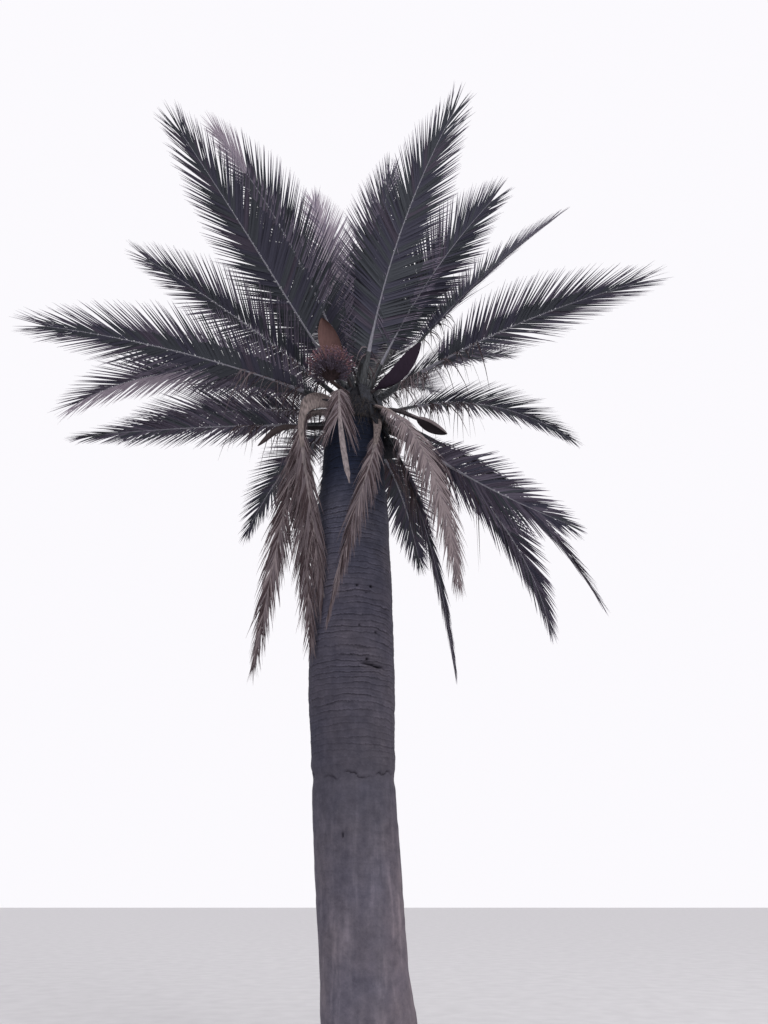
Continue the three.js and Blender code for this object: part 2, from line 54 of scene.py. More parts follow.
# A plain pale floor of smooth plaster, level with the flat cut under the trunk.
floor_reach = 90
floor_corners = [(x * floor_reach, y * floor_reach, 0) for x, y in ((-1, -1), (1, -1), (1, 1), (-1, 1))]
floor_mesh = bpy.data.meshes.new("floor")
floor_mesh.from_pydata(floor_corners, [], [(0, 1, 2, 3)])
floor = bpy.data.objects.new("floor", floor_mesh)
bpy.context.scene.collection.objects.link(floor)


def wire(tree, kind, inputs=None, **settings):
    """One shader node: settings go on the node, and each input gets a number, a colour or a socket."""
    made = tree.nodes.new(kind)
    for key, value in settings.items():
        setattr(made, key, value)
    for key, value in (inputs or {}).items():
        if isinstance(value, bpy.types.NodeSocket):
            tree.links.new(value, made.inputs[key])
        else:
            made.inputs[key].default_value = value
    return made


def tint_ramp(tree, factor, stops):
    """Colours dealt out by a factor: stops are rows of place and red, green, blue."""
    ramp = wire(tree, "ShaderNodeValToRGB", {"Fac": factor})
    elements = ramp.color_ramp.elements
    while len(elements) < len(stops):
        elements.new(0.5)
    for element, (place, colour) in zip(elements, stops):
        element.position = place
        element.color = (*colour, 1)
    return ramp.outputs["Color"]


def new_finish(name, **sockets):
    """A material with one shader, whose constant sockets are set here, and its tree and shader."""
    material = bpy.data.materials.new(name)
    material.use_nodes = True
    shader = material.node_tree.nodes["Principled BSDF"]
    for key, value in sockets.items():
        shader.inputs[key.replace("_", " ")].default_value = value
    return material, material.node_tree, shader


def noise(tree, place, stretch, fineness, detail, roughness=0.5):
    """Noise from 0 to 1 at a place stretched by a mapping: a number below 1 draws the grain out that way."""
    drawn = wire(tree, "ShaderNodeMapping", {"Vector": place, "Scale": stretch}).outputs["Vector"]
    inputs = {"Vector": drawn, "Scale": fineness, "Detail": detail, "Roughness": roughness}
    return wire(tree, "ShaderNodeTexNoise", inputs).outputs["Fac"]


def grain(tree, shader, stretch, fineness, height, detail=4):
    """Noise on Object coordinates, linked to the shader as a bump of that height, and handed back."""
    place = wire(tree, "ShaderNodeTexCoord").outputs["Object"]
    lines = noise(tree, place, stretch, fineness, detail)
    bump = wire(tree, "ShaderNodeBump", {"Height": lines, "Distance": height})
    tree.links.new(bump.outputs["Normal"], shader.inputs["Normal"])
    return lines


def grained_finish(name, stops, roughness, gloss, stretch, fineness, height, detail=4):
    """A skin whose colours are dealt out by its grain, which is its bump too."""
    finish, tree, shader = new_finish(name, Roughness=roughness, Specular_IOR_Level=gloss)
    lines = grain(tree, shader, stretch, fineness, height, detail)
    tree.links.new(tint_ramp(tree, lines, stops), shader.inputs["Base Color"])
    return finish


plaster_tints = [(0.3, (0.60, 0.59, 0.60)), (0.7, (0.66, 0.65, 0.66))]
floor_mesh.materials.append(grained_finish("pale_plaster", plaster_tints, 0.9, 0.2, (1, 1, 1), 3.0, 0.002))

# Soft studio light: an even pale surround, and one very wide lamp high in front and to the right.
surround = bpy.data.worlds.new("surround")
surround.use_nodes = True
glow = surround.node_tree.nodes["Background"].inputs
glow["Color"].default_value = (0.97, 0.955, 0.99, 1)
glow["Strength"].default_value = 1.0
bpy.context.scene.world = surround
softbox = bpy.data.lights.new("softbox", "AREA")
softbox.shape = "DISK"
softbox.size = 9
softbox.energy = 900
softbox_stand = bpy.data.objects.new("softbox", softbox)
softbox_stand.location = (9, -11, 14)
softbox_stand.rotation_euler = (math.radians(52), 0, math.radians(39))
bpy.context.scene.collection.objects.link(softbox_stand)

# The trunk is one stout living column with no branches. From 2.7 m up its skin is ringed by the scars of
# shed fronds; below, it has weathered smooth and pale, with a broken crack where the two skins meet.
trunk_height = 6.9
trunk_lean = -0.270
girth_radius = 0.45
trunk_profile = [  # height and radius
    (0, 0.560), (0.12, 0.500), (0.42, 0.440), (0.90, 0.418), (1.80, 0.424), (2.48, 0.428), (2.60, 0.418),
    (2.76, 0.440), (3.80, 0.475), (4.70, 0.464), (5.50, 0.438), (6.30, 0.388), (trunk_height, 0.366),
]
scar_pitch = 0.068
crack_height = 2.665
notch_azimuth, notch_height = 301, 3.725
knot_holes = [  # azimuth in degrees, height and radius
    (279, 4.62, 0.015), (299, 4.62, 0.017), (292, 4.54, 0.011), (282, 4.16, 0.012), (306, 4.10, 0.014),
    (292, 3.79, 0.015), (254, 2.05, 0.016), (150, 3.40, 0.018), (60, 4.90, 0.015), (200, 5.20, 0.014),
    (110, 2.95, 0.020), (20, 3.70, 0.018),
]


def soft_step(t):
    """A rise from 0 to 1 that starts and ends level: 3t^2 - 2t^3."""
    return t * t * (3 - 2 * t)


def eased(rows, x):
    """The value at x of rows of place and value, with a soft step from each row to the next."""
    places, values = np.array(rows, float).T
    k = np.clip(np.searchsorted(places, x) - 1, 0, len(places) - 2)
    t = np.clip((x - places[k]) / (places[k + 1] - places[k]), 0, 1)
    return values[k] + (values[k + 1] - values[k]) * soft_step(t)


def patches(u, v, cells, seed):
    """Patches from 0 to 1: seeded numbers on a lattice of cells, eased between them and closed round u."""
    lattice = np.random.default_rng(seed).random((cells[0], cells[1] + 2))
    x, y = (u % 1) * cells[0], np.clip(v, 0, 1) * cells[1]
    i, j = x.astype(int) % cells[0], y.astype(int)
    beside = (i + 1) % cells[0]
    across, up = soft_step(x % 1), soft_step(y % 1)
    near = lattice[i, j] * (1 - across) + lattice[beside, j] * across
    far = lattice[i, j + 1] * (1 - across) + lattice[beside, j + 1] * across
    return near * (1 - up) + far * up


def dip(distance, half_width):
    """A soft-edged hollow, 1 at its middle: exp of minus the square of distance over half width."""
    return np.exp(-((distance / half_width) ** 2))


def turn_from(azimuth, given):
    """How far round an azimuth is from a given one, in radians, the short way."""
    return (azimuth - given + np.pi) % (2 * np.pi) - np.pi


def scar_wander(u, v):
    """How far the scars stray from level, counted in scars: broad and small patches and one even tilt."""
    fine = 0.36 * patches(u, v, (19, 74), 2) + 0.26 * patches(u, v, (47, 110), 10)
    return 0.9 * patches(u, v, (5, 22), 1) + fine + 0.15 * np.sin(2 * np.pi * u)


def scar_strength(u, v):
    """How clear a scar is: faint on the weathered foot, growing above the crack, and uneven everywhere."""
    by_height = [(0, 0.02), (2.60, 0.06), (2.90, 0.45), (3.5, 0.85), (trunk_height, 1)]
    return eased(by_height, v * trunk_height) * (0.22 + 0.95 * patches(u, v, (9, 95), 3) ** 1.3)


def bark_hollow(u, z):
    """How far the bark lies below its outer skin, in metres: a step under each scar, a broken crack round
    the waist, a notch with a ledge under it, and knot holes."""
    v, azimuth = z / trunk_height, 2 * np.pi * u
    level = np.zeros_like(v)
    phase = (z / scar_pitch + scar_wander(u, v)) % 1
    step = 0.006 * scar_strength(u, v) * (dip(phase - 0.5, 0.15) + 0.5 * np.clip(phase - 0.5, 0, 1))
    crack_line = crack_height - 0.05 * np.cos(azimuth - 4.7) + 0.09 * (patches(u, level, (23, 1), 5) - 0.5)
    crack_line = crack_line + 0.05 * (patches(u, level, (71, 1), 12) - 0.5)
    broken = np.clip(1.8 * patches(u, level, (31, 1), 6) - 0.25, 0, 1)
    crack = 0.016 * dip(z - crack_line, 0.009) * broken
    ledge = turn_from(azimuth, math.radians(notch_azimuth))
    along_ledge = np.exp(-((ledge / 0.29) ** 4))
    slit = notch_height - 0.05 * ledge + 0.08 * ledge**2 + 0.016 * (patches(u, level, (90, 1), 14) - 0.5)
    notch = along_ledge * (0.032 * dip(z - slit, 0.013) - 0.014 * dip(z - slit + 0.038, 0.020))
    holes = 0
    for at, height, radius in knot_holes:
        squared = (turn_from(azimuth, math.radians(at)) * girth_radius) ** 2 + (z - height) ** 2
        holes = holes + 1.9 * radius * np.exp(-((squared / radius**2) ** 1.5))
    return step + crack + notch + holes


def lean_at(z):
    """How far the trunk's axis stands from its foot: 1 - exp(-(z / 2.1 m)^1.4) of the whole lean."""
    return trunk_lean * (1 - np.exp(-((np.maximum(z, 0) / 2.1) ** 1.4)))


def trunk_skin(columns, rows):
    """Rings up the trunk: the leaning axis, and round it the profile plus swellings, less the bark's hollows.
    The smooth foot takes the first 22 in 100 of the rows, so that they stand closer on the ringed part."""
    levels = np.interp(np.linspace(0, 1, rows), [0, 0.22, 1], [0, 2.5, trunk_height])
    u, z = np.meshgrid(np.arange(columns) / columns, levels)
    v, azimuth = z / trunk_height, 2 * np.pi * u
    hollow = bark_hollow(u, z)
    toes = 0.020 * np.exp(-z / 0.18) * np.sin(9 * azimuth + 3 * patches(u, v, (7, 1), 7))
    swell = 0.014 * (patches(u, v, (6, 14), 8) - 0.5) + 0.007 * (patches(u, v, (24, 90), 9) - 0.5)
    radius = eased(trunk_profile, z) + 0.008 + toes + swell - hollow
    ring = np.stack([lean_at(z) + radius * np.cos(azimuth), radius * np.sin(azimuth), z], -1)
    return ring[None], hollow, scar_wander(u, v), scar_strength(u, v)


def make_piece(name, skins, finishes, smooth=True):
    """One mesh of closed tubes. Each skin is an array of copies, stations and corners, the corners running
    anticlockwise as seen from ahead, and the number of a finish for each wall face, or one for all of them.
    A wall joins each corner to the next on two neighbouring stations, and both ends have a flat cap."""
    points, corners, starts, finish_numbers, first, loops = [], [], [], [], 0, 0
    for rings, wall_finish in skins:
        copies, stations, count = rings.shape[:3]
        number = first + np.arange(copies * stations * count).reshape(copies, stations, count)
        near, far = number[:, :-1], number[:, 1:]
        walls = np.stack([near, np.roll(near, -1, 2), np.roll(far, -1, 2), far], -1).reshape(-1, 4)
        caps = np.concatenate([number[:, 0, ::-1], number[:, -1]])
        wall_numbers = np.broadcast_to(wall_finish, near.shape)
        cap_numbers = np.concatenate([wall_numbers[:, 0, 0], wall_numbers[:, -1, 0]])
        for faces, numbers in ((walls, wall_numbers.ravel()), (caps, cap_numbers)):
            corners.append(faces.ravel())
            starts.append(loops + faces.shape[1] * np.arange(len(faces)))
            finish_numbers.append(numbers)
            loops += faces.size
        points.append(rings.reshape(-1, 3))
        first += number.size
    mesh = bpy.data.meshes.new(name)
    corners, starts = np.concatenate(corners), np.concatenate(starts)
    mesh.vertices.add(first)
    mesh.vertices.foreach_set("co", np.concatenate(points).astype(np.float32).ravel())
    mesh.loops.add(len(corners))
    mesh.loops.foreach_set("vertex_index", corners.astype(np.int32))
    mesh.polygons.add(len(starts))
    mesh.polygons.foreach_set("loop_start", starts.astype(np.int32))
    mesh.polygons.foreach_set("material_index", np.concatenate(finish_numbers).astype(np.int32))
    mesh.polygons.foreach_set("use_smooth", np.full(len(starts), smooth))
    for finish in finishes:
        mesh.materials.append(finish)
    mesh.update(calc_edges=True)
    piece = bpy.data.objects.new(name, mesh)
    bpy.context.scene.collection.objects.link(piece)
    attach(piece, "root")
    return piece


def note_on_corners(piece, name, values):
    """Keeps one number for each corner of a mesh, which its material reads by name."""
    noted = piece.data.attributes.new(name, "FLOAT", "POINT")
    noted.data.foreach_set("value", values.astype(np.float32).ravel())


def reckon(tree, operation, *numbers):
    """The outcome of one sum on numbers and sockets."""
    return wire(tree, "ShaderNodeMath", dict(enumerate(numbers)), operation=operation).outputs[0]


def share_between(tree, value, start, end):
    """How far a value has come from the start to the end, from 0 to 1."""
    inputs = {"Value": value, "From Min": start, "From Max": end}
    return wire(tree, "ShaderNodeMapRange", inputs).outputs["Result"]


def washed(tree, colour, layer, share):
    """A colour multiplied by a layer, as strongly as the share says: sockets 6 and 7 take the colours."""
    inputs = {0: share, 6: colour, 7: layer}
    return wire(tree, "ShaderNodeMix", inputs, data_type="RGBA", blend_type="MULTIPLY").outputs[2]


bark, tree, shader = new_finish("ringed_bark", Roughness=0.86, Specular_IOR_Level=0.12)
place = wire(tree, "ShaderNodeTexCoord").outputs["Object"]
axes = wire(tree, "ShaderNodeSeparateXYZ", {"Vector": place}).outputs
wander, clear, hollows = [
    wire(tree, "ShaderNodeAttribute", attribute_name=noted).outputs["Fac"]
    for noted in ("wander", "scar", "hollow")
]
fissures, bands, crumbs, washes, streaks, mottle = [noise(tree, place, *row) for row in (
    ((1, 1, 0.09), 21.0, 9.0), ((0.45, 0.45, 6), 2.6, 7.0), ((1, 1, 1), 46.0, 5.0),
    ((1, 1, 1), 1.7, 3.0), ((1, 1, 0.16), 13.0, 8.0), ((1, 1, 1), 9.0, 9.0, 0.7),
)]
ragged = reckon(tree, "MULTIPLY", crumbs, 0.55)
counted = reckon(tree, "MULTIPLY_ADD", axes["Z"], 1 / scar_pitch, wander)
counted = reckon(tree, "ADD", counted, ragged)
# Each scar is a dark stroke under a pale lip. It is the bump, and as colour it is painted shade under the
# scar's step and a painted highlight on its lip.
scar_steps = [(0.0, 0.62), (0.36, 0.50), (0.54, 0.30), (0.66, 0.02), (0.80, 0.90), (1.0, 0.62)]
scar = tint_ramp(tree, reckon(tree, "FRACT", counted), [(at, (grey,) * 3) for at, grey in scar_steps])
scar_shade_and_highlight = wire(tree, "ShaderNodeMapRange", {"Value": scar, "To Min": -0.70, "To Max": 0.55}).outputs["Result"]
scar_shade_and_highlight = reckon(tree, "MULTIPLY_ADD", scar_shade_and_highlight, clear, 1.0)
# A second, finer dark line and pale band in each scar: more painted shade and painted highlight.
fine_scar_shade_and_highlight = reckon(tree, "FRACT", reckon(tree, "MULTIPLY_ADD", counted, 2.0, ragged))
up = share_between(tree, axes["Z"], 0.0, trunk_height)
low_down = share_between(tree, axes["Z"], 2.65, 1.9)
# Painted light: from left to right across the trunk, painted shade on the left side and painted sunlight on
# the right.
painted_side_light = share_between(tree, axes["X"], -0.75, 0.22)
raised = reckon(tree, "MULTIPLY_ADD", scar, clear, ragged)
raised = reckon(tree, "MULTIPLY_ADD", fissures, 0.2, raised)
relief = wire(tree, "ShaderNodeBump", {"Height": raised, "Distance": 0.014, "Strength": 0.8})
tree.links.new(relief.outputs["Normal"], shader.inputs["Normal"])
# Bark colour by height: the paler weathered foot, then darker; from 0.9 of the height up it is darkened to
# near black, painted shade under the crown.
colour = tint_ramp(tree, up, [
    (0.0, (0.140, 0.129, 0.146)), (0.22, (0.117, 0.109, 0.128)), (0.33, (0.082, 0.079, 0.096)),
    (0.42, (0.062, 0.060, 0.076)), (0.66, (0.072, 0.069, 0.088)), (0.80, (0.080, 0.082, 0.107)),
    (0.90, (0.016, 0.021, 0.038)), (1.0, (0.006, 0.009, 0.018)),
])
for share, factor, stops in (
    (clear, bands, [(0.32, (0.82, 0.82, 0.84)), (0.50, (1, 1, 1)), (0.70, (1.20, 1.18, 1.16))]),
    (1.0, fissures, [(0.34, (0.96, 0.96, 0.97)), (0.54, (1, 1, 1)), (0.72, (1.08, 1.07, 1.07))]),
    (low_down, streaks, [(0.38, (0.90, 0.90, 0.92)), (0.55, (1, 1, 1)), (0.68, (1.30, 1.28, 1.26))]),
    (1.0, mottle, [(0.34, (0.78, 0.78, 0.80)), (0.50, (1, 1, 1)), (0.66, (1.24, 1.22, 1.21))]),
    (1.0, washes, [(0.35, (0.90, 0.90, 0.97)), (0.65, (1.12, 1.06, 1.04))]),
    # painted shade on the left side, painted sunlight on the right
    (1.0, painted_side_light, [
        (0.0, (0.80, 0.82, 0.90)), (0.30, (0.94, 0.95, 0.98)), (0.85, (1, 1, 1)), (1.0, (1.10, 1.05, 1.03)),
    ]),
    # the finer scar lines: painted shade and painted highlight
    (clear, fine_scar_shade_and_highlight, [
        (0.0, (1, 1, 1)), (0.40, (0.94, 0.94, 0.95)), (0.58, (0.64, 0.64, 0.67)), (0.74, (1.16, 1.15, 1.14)),
    ]),
    # Painted shade: the deeper the bark lies, in scar steps, the crack, the notch and knot holes, the darker
    # it is painted.
    (1.0, hollows, [(0.0, (1.04, 1.04, 1.04)), (0.35, (0.84, 0.83, 0.85)), (1.0, (0.16, 0.15, 0.18))]),
):
    colour = washed(tree, colour, tint_ramp(tree, factor, stops), share)
# The scar's painted shade and highlight go on last.
tree.links.new(washed(tree, colour, scar_shade_and_highlight, 1.0), shader.inputs["Base Color"])

skin, hollow, stray, strength = trunk_skin(columns=204, rows=486)
trunk = make_piece("trunk_bark", [(skin, 0)], [bark])
# The hollow depth is kept on the mesh, and the bark is painted darker by it as painted shade.
deepest_hollow = 0.022
note_on_corners(trunk, "hollow", np.clip(hollow / deepest_hollow, 0, 1))
note_on_corners(trunk, "wander", stray)
note_on_corners(trunk, "scar", strength)
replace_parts(trunk, "trunk")

# The heart is the dome of leaf bases on top of the column. Each frond, shed or living, has a woody sheath
# that clasps it, so the dome is shingled with them, and loose brown fibres hang from their torn edges.
heart_height = 0.72
heart_centre = np.array([-0.225, 0.0])
heart_profile = [(0, 0.372), (0.12, 0.382), (0.3, 0.350), (0.52, 0.270), (0.74, 0.180), (0.92, 0.090), (1, 0)]
# How each frond leaves the dome, which the sheaths follow too: azimuth, seat above the neck, rise, bend,
# length and swing, and then what it alone has. Roll turns the blade, petiole is the bare share, curl or fold
# says where it bends, hug closes the leaflets up and sparse thins them, none grow before bare or after
# until, faded_side pales one side, and strap and stub thicken a dead petiole or its end.
frond_rows = {
    "high": [
        (207, 0.500, 49, 22, 3.79, 28, {"roll": -16}),
        (222, 0.590, 66, 16, 4.29, -21, {"roll": -20, "tone": "tipped"}),
        # Painted the palest lilac on both faces, as painted skylight.
        (154, 0.590, 82, 8, 3.99, 0, {"roll": 70, "tone": "pale"}),
        (294, 0.510, 71, 34, 3.82, 14, {"roll": 30}),
        (298, 0.640, 80, 14, 3.14, 0, {}),
        (334, 0.500, 65, 26, 3.23, -2, {"roll": 22, "bare": 0.12}),
        (120, 0.500, 62, 20, 3.74, 0, {}),
        (77, 0.480, 60, 24, 3.74, 0, {}),
        (46, 0.540, 68, 22, 3.64, 0, {}),
    ],
    "spreading": [
        # Its upper faces are painted in the underside colours, as painted shade.
        (350, 0.460, 53, 18, 3.59, -6, {"roll": -50, "petiole": 0.32, "tone": "dark"}),
        (328, 0.345, 20, 24, 3.52, 3, {"roll": 5, "petiole": 0.19, "curl": 0.95, "bare": 0.13}),
        (24, 0.450, 48, 27, 2.98, 8, {"petiole": 0.18}),
        (206, 0.330, 8.3, 18, 3.62, 0, {"roll": -23}),
        (188, 0.430, 41, 13, 3.36, 6, {"roll": -22}),
        (184, 0.290, 34, 68, 3.72, -8, {"roll": -12, "tone": "mauve", "faded_side": 1}),
        (160, 0.310, 20, 32, 3.29, 4, {"roll": -12, "tone": "mauve"}),
        (142, 0.420, 42, 30, 3.64, 0, {}),
        (100, 0.360, 36, 40, 3.64, 0, {}),
        (66, 0.390, 50, 28, 3.54, 0, {}),
    ],
    "drooping": [
        (16, 0.268, 31, 51, 3.25, 11, {"curl": 1.2, "petiole": 0.16}),
        (172, 0.130, 4, 15, 3.23, 14, {"roll": -10, "tone": "mauve"}),
        (334, 0.160, -50, -16, 3.02, 0, {"roll": 60, "petiole": 0.28, "tone": "mauve", "sparse": 0.16}),
        (353, 0.190, -24, 42, 3.65, 0,
         {"roll": 2, "hug": 0.5, "petiole": 0.26, "tone": "mauve", "sparse": 0.16}),
        (13, 0.110, -17, 63, 3.46, 0,
         {"roll": 28, "hug": 0.65, "petiole": 0.3, "tone": "mauve", "sparse": 0.12}),
        (128, 0.220, 20, 54, 3.11, -6, {}),
        (60, 0.110, -10, 28, 2.40, 16, {}),
    ],
    "hanging": [
        (345, 0.060, -60.5, 24, 3.38, 0, {"roll": 25, "tone": "mauve"}),
        (92, 0.130, -5, 62, 3.65, 0, {}),
    ],
    "dead": [
        (306, 0.230, -8, 76, 3.34, 4, {"curl": 0.4, "roll": -35, "petiole": 0.14, "tone": "faded"}),
        (195, 0.190, 15, 98.1, 3.70, -6, {"fold": 0.1, "roll": 60, "hug": 0.95}),
        (214, 0.110, 10, 106, 3.42, -16, {"fold": 0.14, "roll": 50}),
        (222, 0.232, 11, 111.5, 3.42, -24,
         {"fold": 0.165, "roll": 75, "hug": 0.55, "petiole": 0.29, "strap": 0.150}),
        (238, 0.262, 24, 98, 2.05, 72, {"fold": 0.18, "hug": 0.8, "until": 0.4, "stub": 0.070}),
        (314, 0.110, -50, 30, 3.05, -130, {"curl": 0.4, "hug": 0.8, "petiole": 0.2}),
        (122, 0.070, 5, 92, 3.15, 0, {"fold": 0.12}),
        (84, 0.050, 5, 94, 3.25, 0, {"fold": 0.12}),
    ],
}
shed_sheaths = 48
golden_angle = 2.39996


def sheath_relief(azimuth, share):
    """How far the sheaths stand out of the dome: each is a tongue that leans out as it rises and steps back
    at its pointed rim, and a place on the dome takes the outermost tongue that covers it."""
    seats = [(math.radians(row[0]), row[1] / heart_height) for rows in frond_rows.values() for row in rows]
    shed = [
        ((k * golden_angle) % (2 * np.pi), 0.02 + 0.95 * k / shed_sheaths) for k in range(shed_sheaths)
    ]
    relief = np.zeros_like(share)
    for at, foot in seats + shed:
        climb = (share - foot + 0.16) / 0.22
        wide = 0.34 * np.sqrt(np.clip(1 - climb, 0, 1)) / (1.05 - 0.7 * share)
        beside = np.abs(turn_from(azimuth, at))
        inside = (climb > 0) & (climb < 1) & (beside < wide)
        relief = np.maximum(relief, np.where(inside, 0.010 + 0.030 * climb, 0))
    return relief * (1 - share) ** 0.3


def round_heart(out, azimuth, height):
    """A place from its distance from the heart's axis, its azimuth and its height above the neck."""
    x, y = heart_centre[0] + out * np.cos(azimuth), heart_centre[1] + out * np.sin(azimuth)
    return np.stack([x, y, trunk_height + height], -1)


def heart_skin(columns, rows):
    """Rings up the dome: its profile plus the sheaths and fine upright fibres, closed at the top."""
    u, share = np.meshgrid(np.arange(columns) / columns, np.linspace(0, 1, rows) ** 0.8)
    azimuth = 2 * np.pi * u
    radius = eased(heart_profile, share) + sheath_relief(azimuth, share) * 0.8
    radius = np.maximum(radius + 0.006 * (patches(u, share, (120, 14), 11) - 0.6) * (1 - share), 0.003)
    return round_heart(radius, azimuth, 0.0005 + share * heart_height)[None]


def unit(ways):
    """The same ways, each made one long."""
    return ways / np.linalg.norm(ways, axis=-1, keepdims=True)


def wheel(level, rising, sides):
    """Evenly spaced directions round a path: cosine times one way across it plus sine times the other."""
    turn = 2 * np.pi * np.arange(sides) / sides
    return np.cos(turn)[:, None] * level[..., None, :] + np.sin(turn)[:, None] * rising[..., None, :]


def strands(places, thickness, sides=3):
    """Thin round strands along paths: rings of a few corners whose radius is half the thickness at each, on
    a level direction across the path and the cross product of the path with it."""
    ahead = unit(np.gradient(places, axis=-2))
    level = unit(np.cross(ahead, np.array([0.0, 0.0, 1.0]) + 1e-3))
    spokes = wheel(level, np.cross(ahead, level), sides)
    return places[..., None, :] + spokes * np.asarray(thickness)[..., None, None] / 2


def hanging_fibres(count, seed):
    """Fibres that leave the dome's lower sheaths outwards and fall: out by a root, down by a square."""
    rng = np.random.default_rng(seed)
    azimuth = rng.random(count)[:, None] * 2 * np.pi
    share = rng.random(count)[:, None] ** 1.5 * 0.55
    t = np.linspace(0, 1, 7)
    out = eased(heart_profile, share) - 0.01 + (0.03 + 0.09 * rng.random((count, 1))) * np.sqrt(t)
    fall = (0.10 + 0.28 * rng.random((count, 1))) * t**2 - 0.05 * t
    sway = (rng.random((count, 1)) - 0.5) * 0.5 * t**2
    return round_heart(out, azimuth + sway, 0.02 + share * heart_height - fall)


def plain_finish(name, colour, roughness, gloss, fineness, height, detail=4, stretch=(1, 1, 1)):
    """A skin of one plain colour with fine grain as a bump."""
    finish, tree, shader = new_finish(
        name, Base_Color=(*colour, 1), Roughness=roughness, Specular_IOR_Level=gloss
    )
    grain(tree, shader, stretch, fineness, height, detail)
    return finish


# The sheaths are painted nearly black and blue: painted shade under the crown, on the heart and the pad
# alike.
sheath_shade_tints = [(0.30, (0.006, 0.006, 0.009)), (0.52, (0.015, 0.015, 0.020)), (0.74, (0.038, 0.036, 0.041))]
sheath = grained_finish("woody_sheath_painted_shade", sheath_shade_tints, 0.9, 0.25, (1, 1, 0.12), 60.0, 0.004, 6)
thread = plain_finish("brown_fibre", (0.060, 0.045, 0.036), 0.85, 0.5, 90.0, 0.001, stretch=(1, 1, 0.3))
heart = make_piece("heart_of_leaf_bases", [(heart_skin(columns=200, rows=120), 0)], [sheath])
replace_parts(heart, "crown_heart")
fibres = strands(hanging_fibres(count=420, seed=12), np.linspace(0.004, 0.0015, 7))
make_piece("loose_fibres", [(fibres, 0)], [thread])

# Behind the right of the neck a rough pad of old leaf bases is left, stacked in courses and cut off short.
pad_centre = np.array([0.155, 0.160, 6.745])
pad_size = np.array([0.330, 0.330, 0.210])


def fuller(wave, power):
    """A sine or cosine with its sign kept and its size raised to a power below 1, which squares a round."""
    return np.sign(wave) * np.abs(wave) ** power


def pad_skin(columns, rows):
    """A block with rounded corners: cosine and sine to the power 0.6, drawn in at both ends, with a step
    at each course of bases and an upright gap between two of them."""
    u, v = np.meshgrid(np.arange(columns) / columns, np.linspace(-0.5, 0.5, rows))
    azimuth = 2 * np.pi * u
    drawn = 1 - 0.5 * (2 * v) ** 4
    course = (v * 4 + 0.3 * patches(u, v + 0.5, (8, 4), 13)) % 1
    gap = np.abs(np.sin(azimuth * 4.5 + np.floor(v * 4) * 1.9)) ** 6
    drawn = drawn * (0.94 + 0.09 * course - 0.05 * gap * (1 - np.abs(2 * v)))
    x, y = fuller(np.cos(azimuth), 0.6), fuller(np.sin(azimuth), 0.6)
    return (pad_centre + np.stack([x / 2 * drawn, y / 2 * drawn, v], -1) * pad_size)[None]


# The pad wears the same sheath finish, painted dark as shade.
pad = make_piece("old_leaf_bases", [(pad_skin(columns=96, rows=56), 0)], [sheath])
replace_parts(pad, "leaf_base_pad")

# Woody bracts, boats on a stalk that hooded the flowers before they opened: an open one behind the
# flowers, a closed spindle, an old hollow one bent down, and a small one at the side. Grooved along.
bract_rows = [
    # name, path from inside the heart to the tip, stalk's share, width, depth, open side, hollow, and the
    # colours of the skin and the lining
    ("flower_bract",
     [(-0.295, -0.130, 7.460), (-0.400, -0.320, 7.620), (-0.550, -0.430, 7.880), (-0.706, -0.450, 8.380)],
     0.30, 0.270, 0.090, (-0.1, -1, -0.3), 0.70, (0.150, 0.092, 0.082), (0.118, 0.067, 0.062)),
    ("closed_bract",
     [(-0.130, -0.105, 7.330), (0.0, -0.225, 7.385), (0.250, -0.260, 7.550), (0.610, -0.230, 8.150)],
     0.20, 0.205, 0.150, (0.3, -1, 0), 0.0, (0.018, 0.011, 0.020), (0.018, 0.011, 0.020)),
    # The old bract's lining is far darker than its skin: painted shade in its hollow, which opens downwards.
    ("old_bract",
     [(-0.060, -0.160, 7.060), (0.200, -0.430, 6.960), (0.505, -0.620, 6.720), (0.873, -0.640, 6.470)],
     0.68, 0.140, 0.120, (0, -0.3, -1), 0.55, (0.135, 0.110, 0.115), (0.030, 0.024, 0.028)),
    ("side_bract",
     [(-0.430, -0.010, 6.950), (-0.800, -0.020, 6.930), (-1.190, -0.010, 6.940), (-1.500, 0.010, 6.690)],
     0.55, 0.090, 0.060, (0, 0, 1), 0.0, (0.070, 0.055, 0.055), (0.070, 0.055, 0.055)),
]
bract_stations = 56
bract_half = 20


def read_off(at, noted, places):
    """Places along a path at some numbers, from the numbers noted on it."""
    return np.stack([np.interp(at, noted, places[:, k]) for k in range(3)], -1)


def smooth_path(knots, shares):
    """A centripetal Catmull-Rom curve through knots: between two knots a cubic whose end slopes come from
    the square roots of the knots' distances. It is then read off at shares of its length."""
    k = np.array(knots, float)
    k = np.vstack([2 * k[0] - k[1], k, 2 * k[-1] - k[-2]])
    root = np.sqrt(np.linalg.norm(np.diff(k, axis=0), axis=1))[:, None]
    a, b, c, d = k[:-3], k[1:-2], k[2:-1], k[3:]
    r0, r1, r2 = root[:-2], root[1:-1], root[2:]
    leave = ((b - a) / r0 - (c - a) / (r0 + r1) + (c - b) / r1) * r1
    arrive = ((c - b) / r1 - (d - b) / (r1 + r2) + (d - c) / r2) * r1
    t = np.linspace(0, 1, 80)[:, None, None]
    square, cube = 3 * (c - b) - 2 * leave - arrive, 2 * (b - c) + leave + arrive
    curve = b + leave * t + square * t**2 + cube * t**3
    curve = curve.transpose(1, 0, 2).reshape(-1, 3)
    length = np.concatenate([[0], np.cumsum(np.linalg.norm(np.diff(curve, axis=0), axis=1))])
    return read_off(shares * length[-1], length, curve)


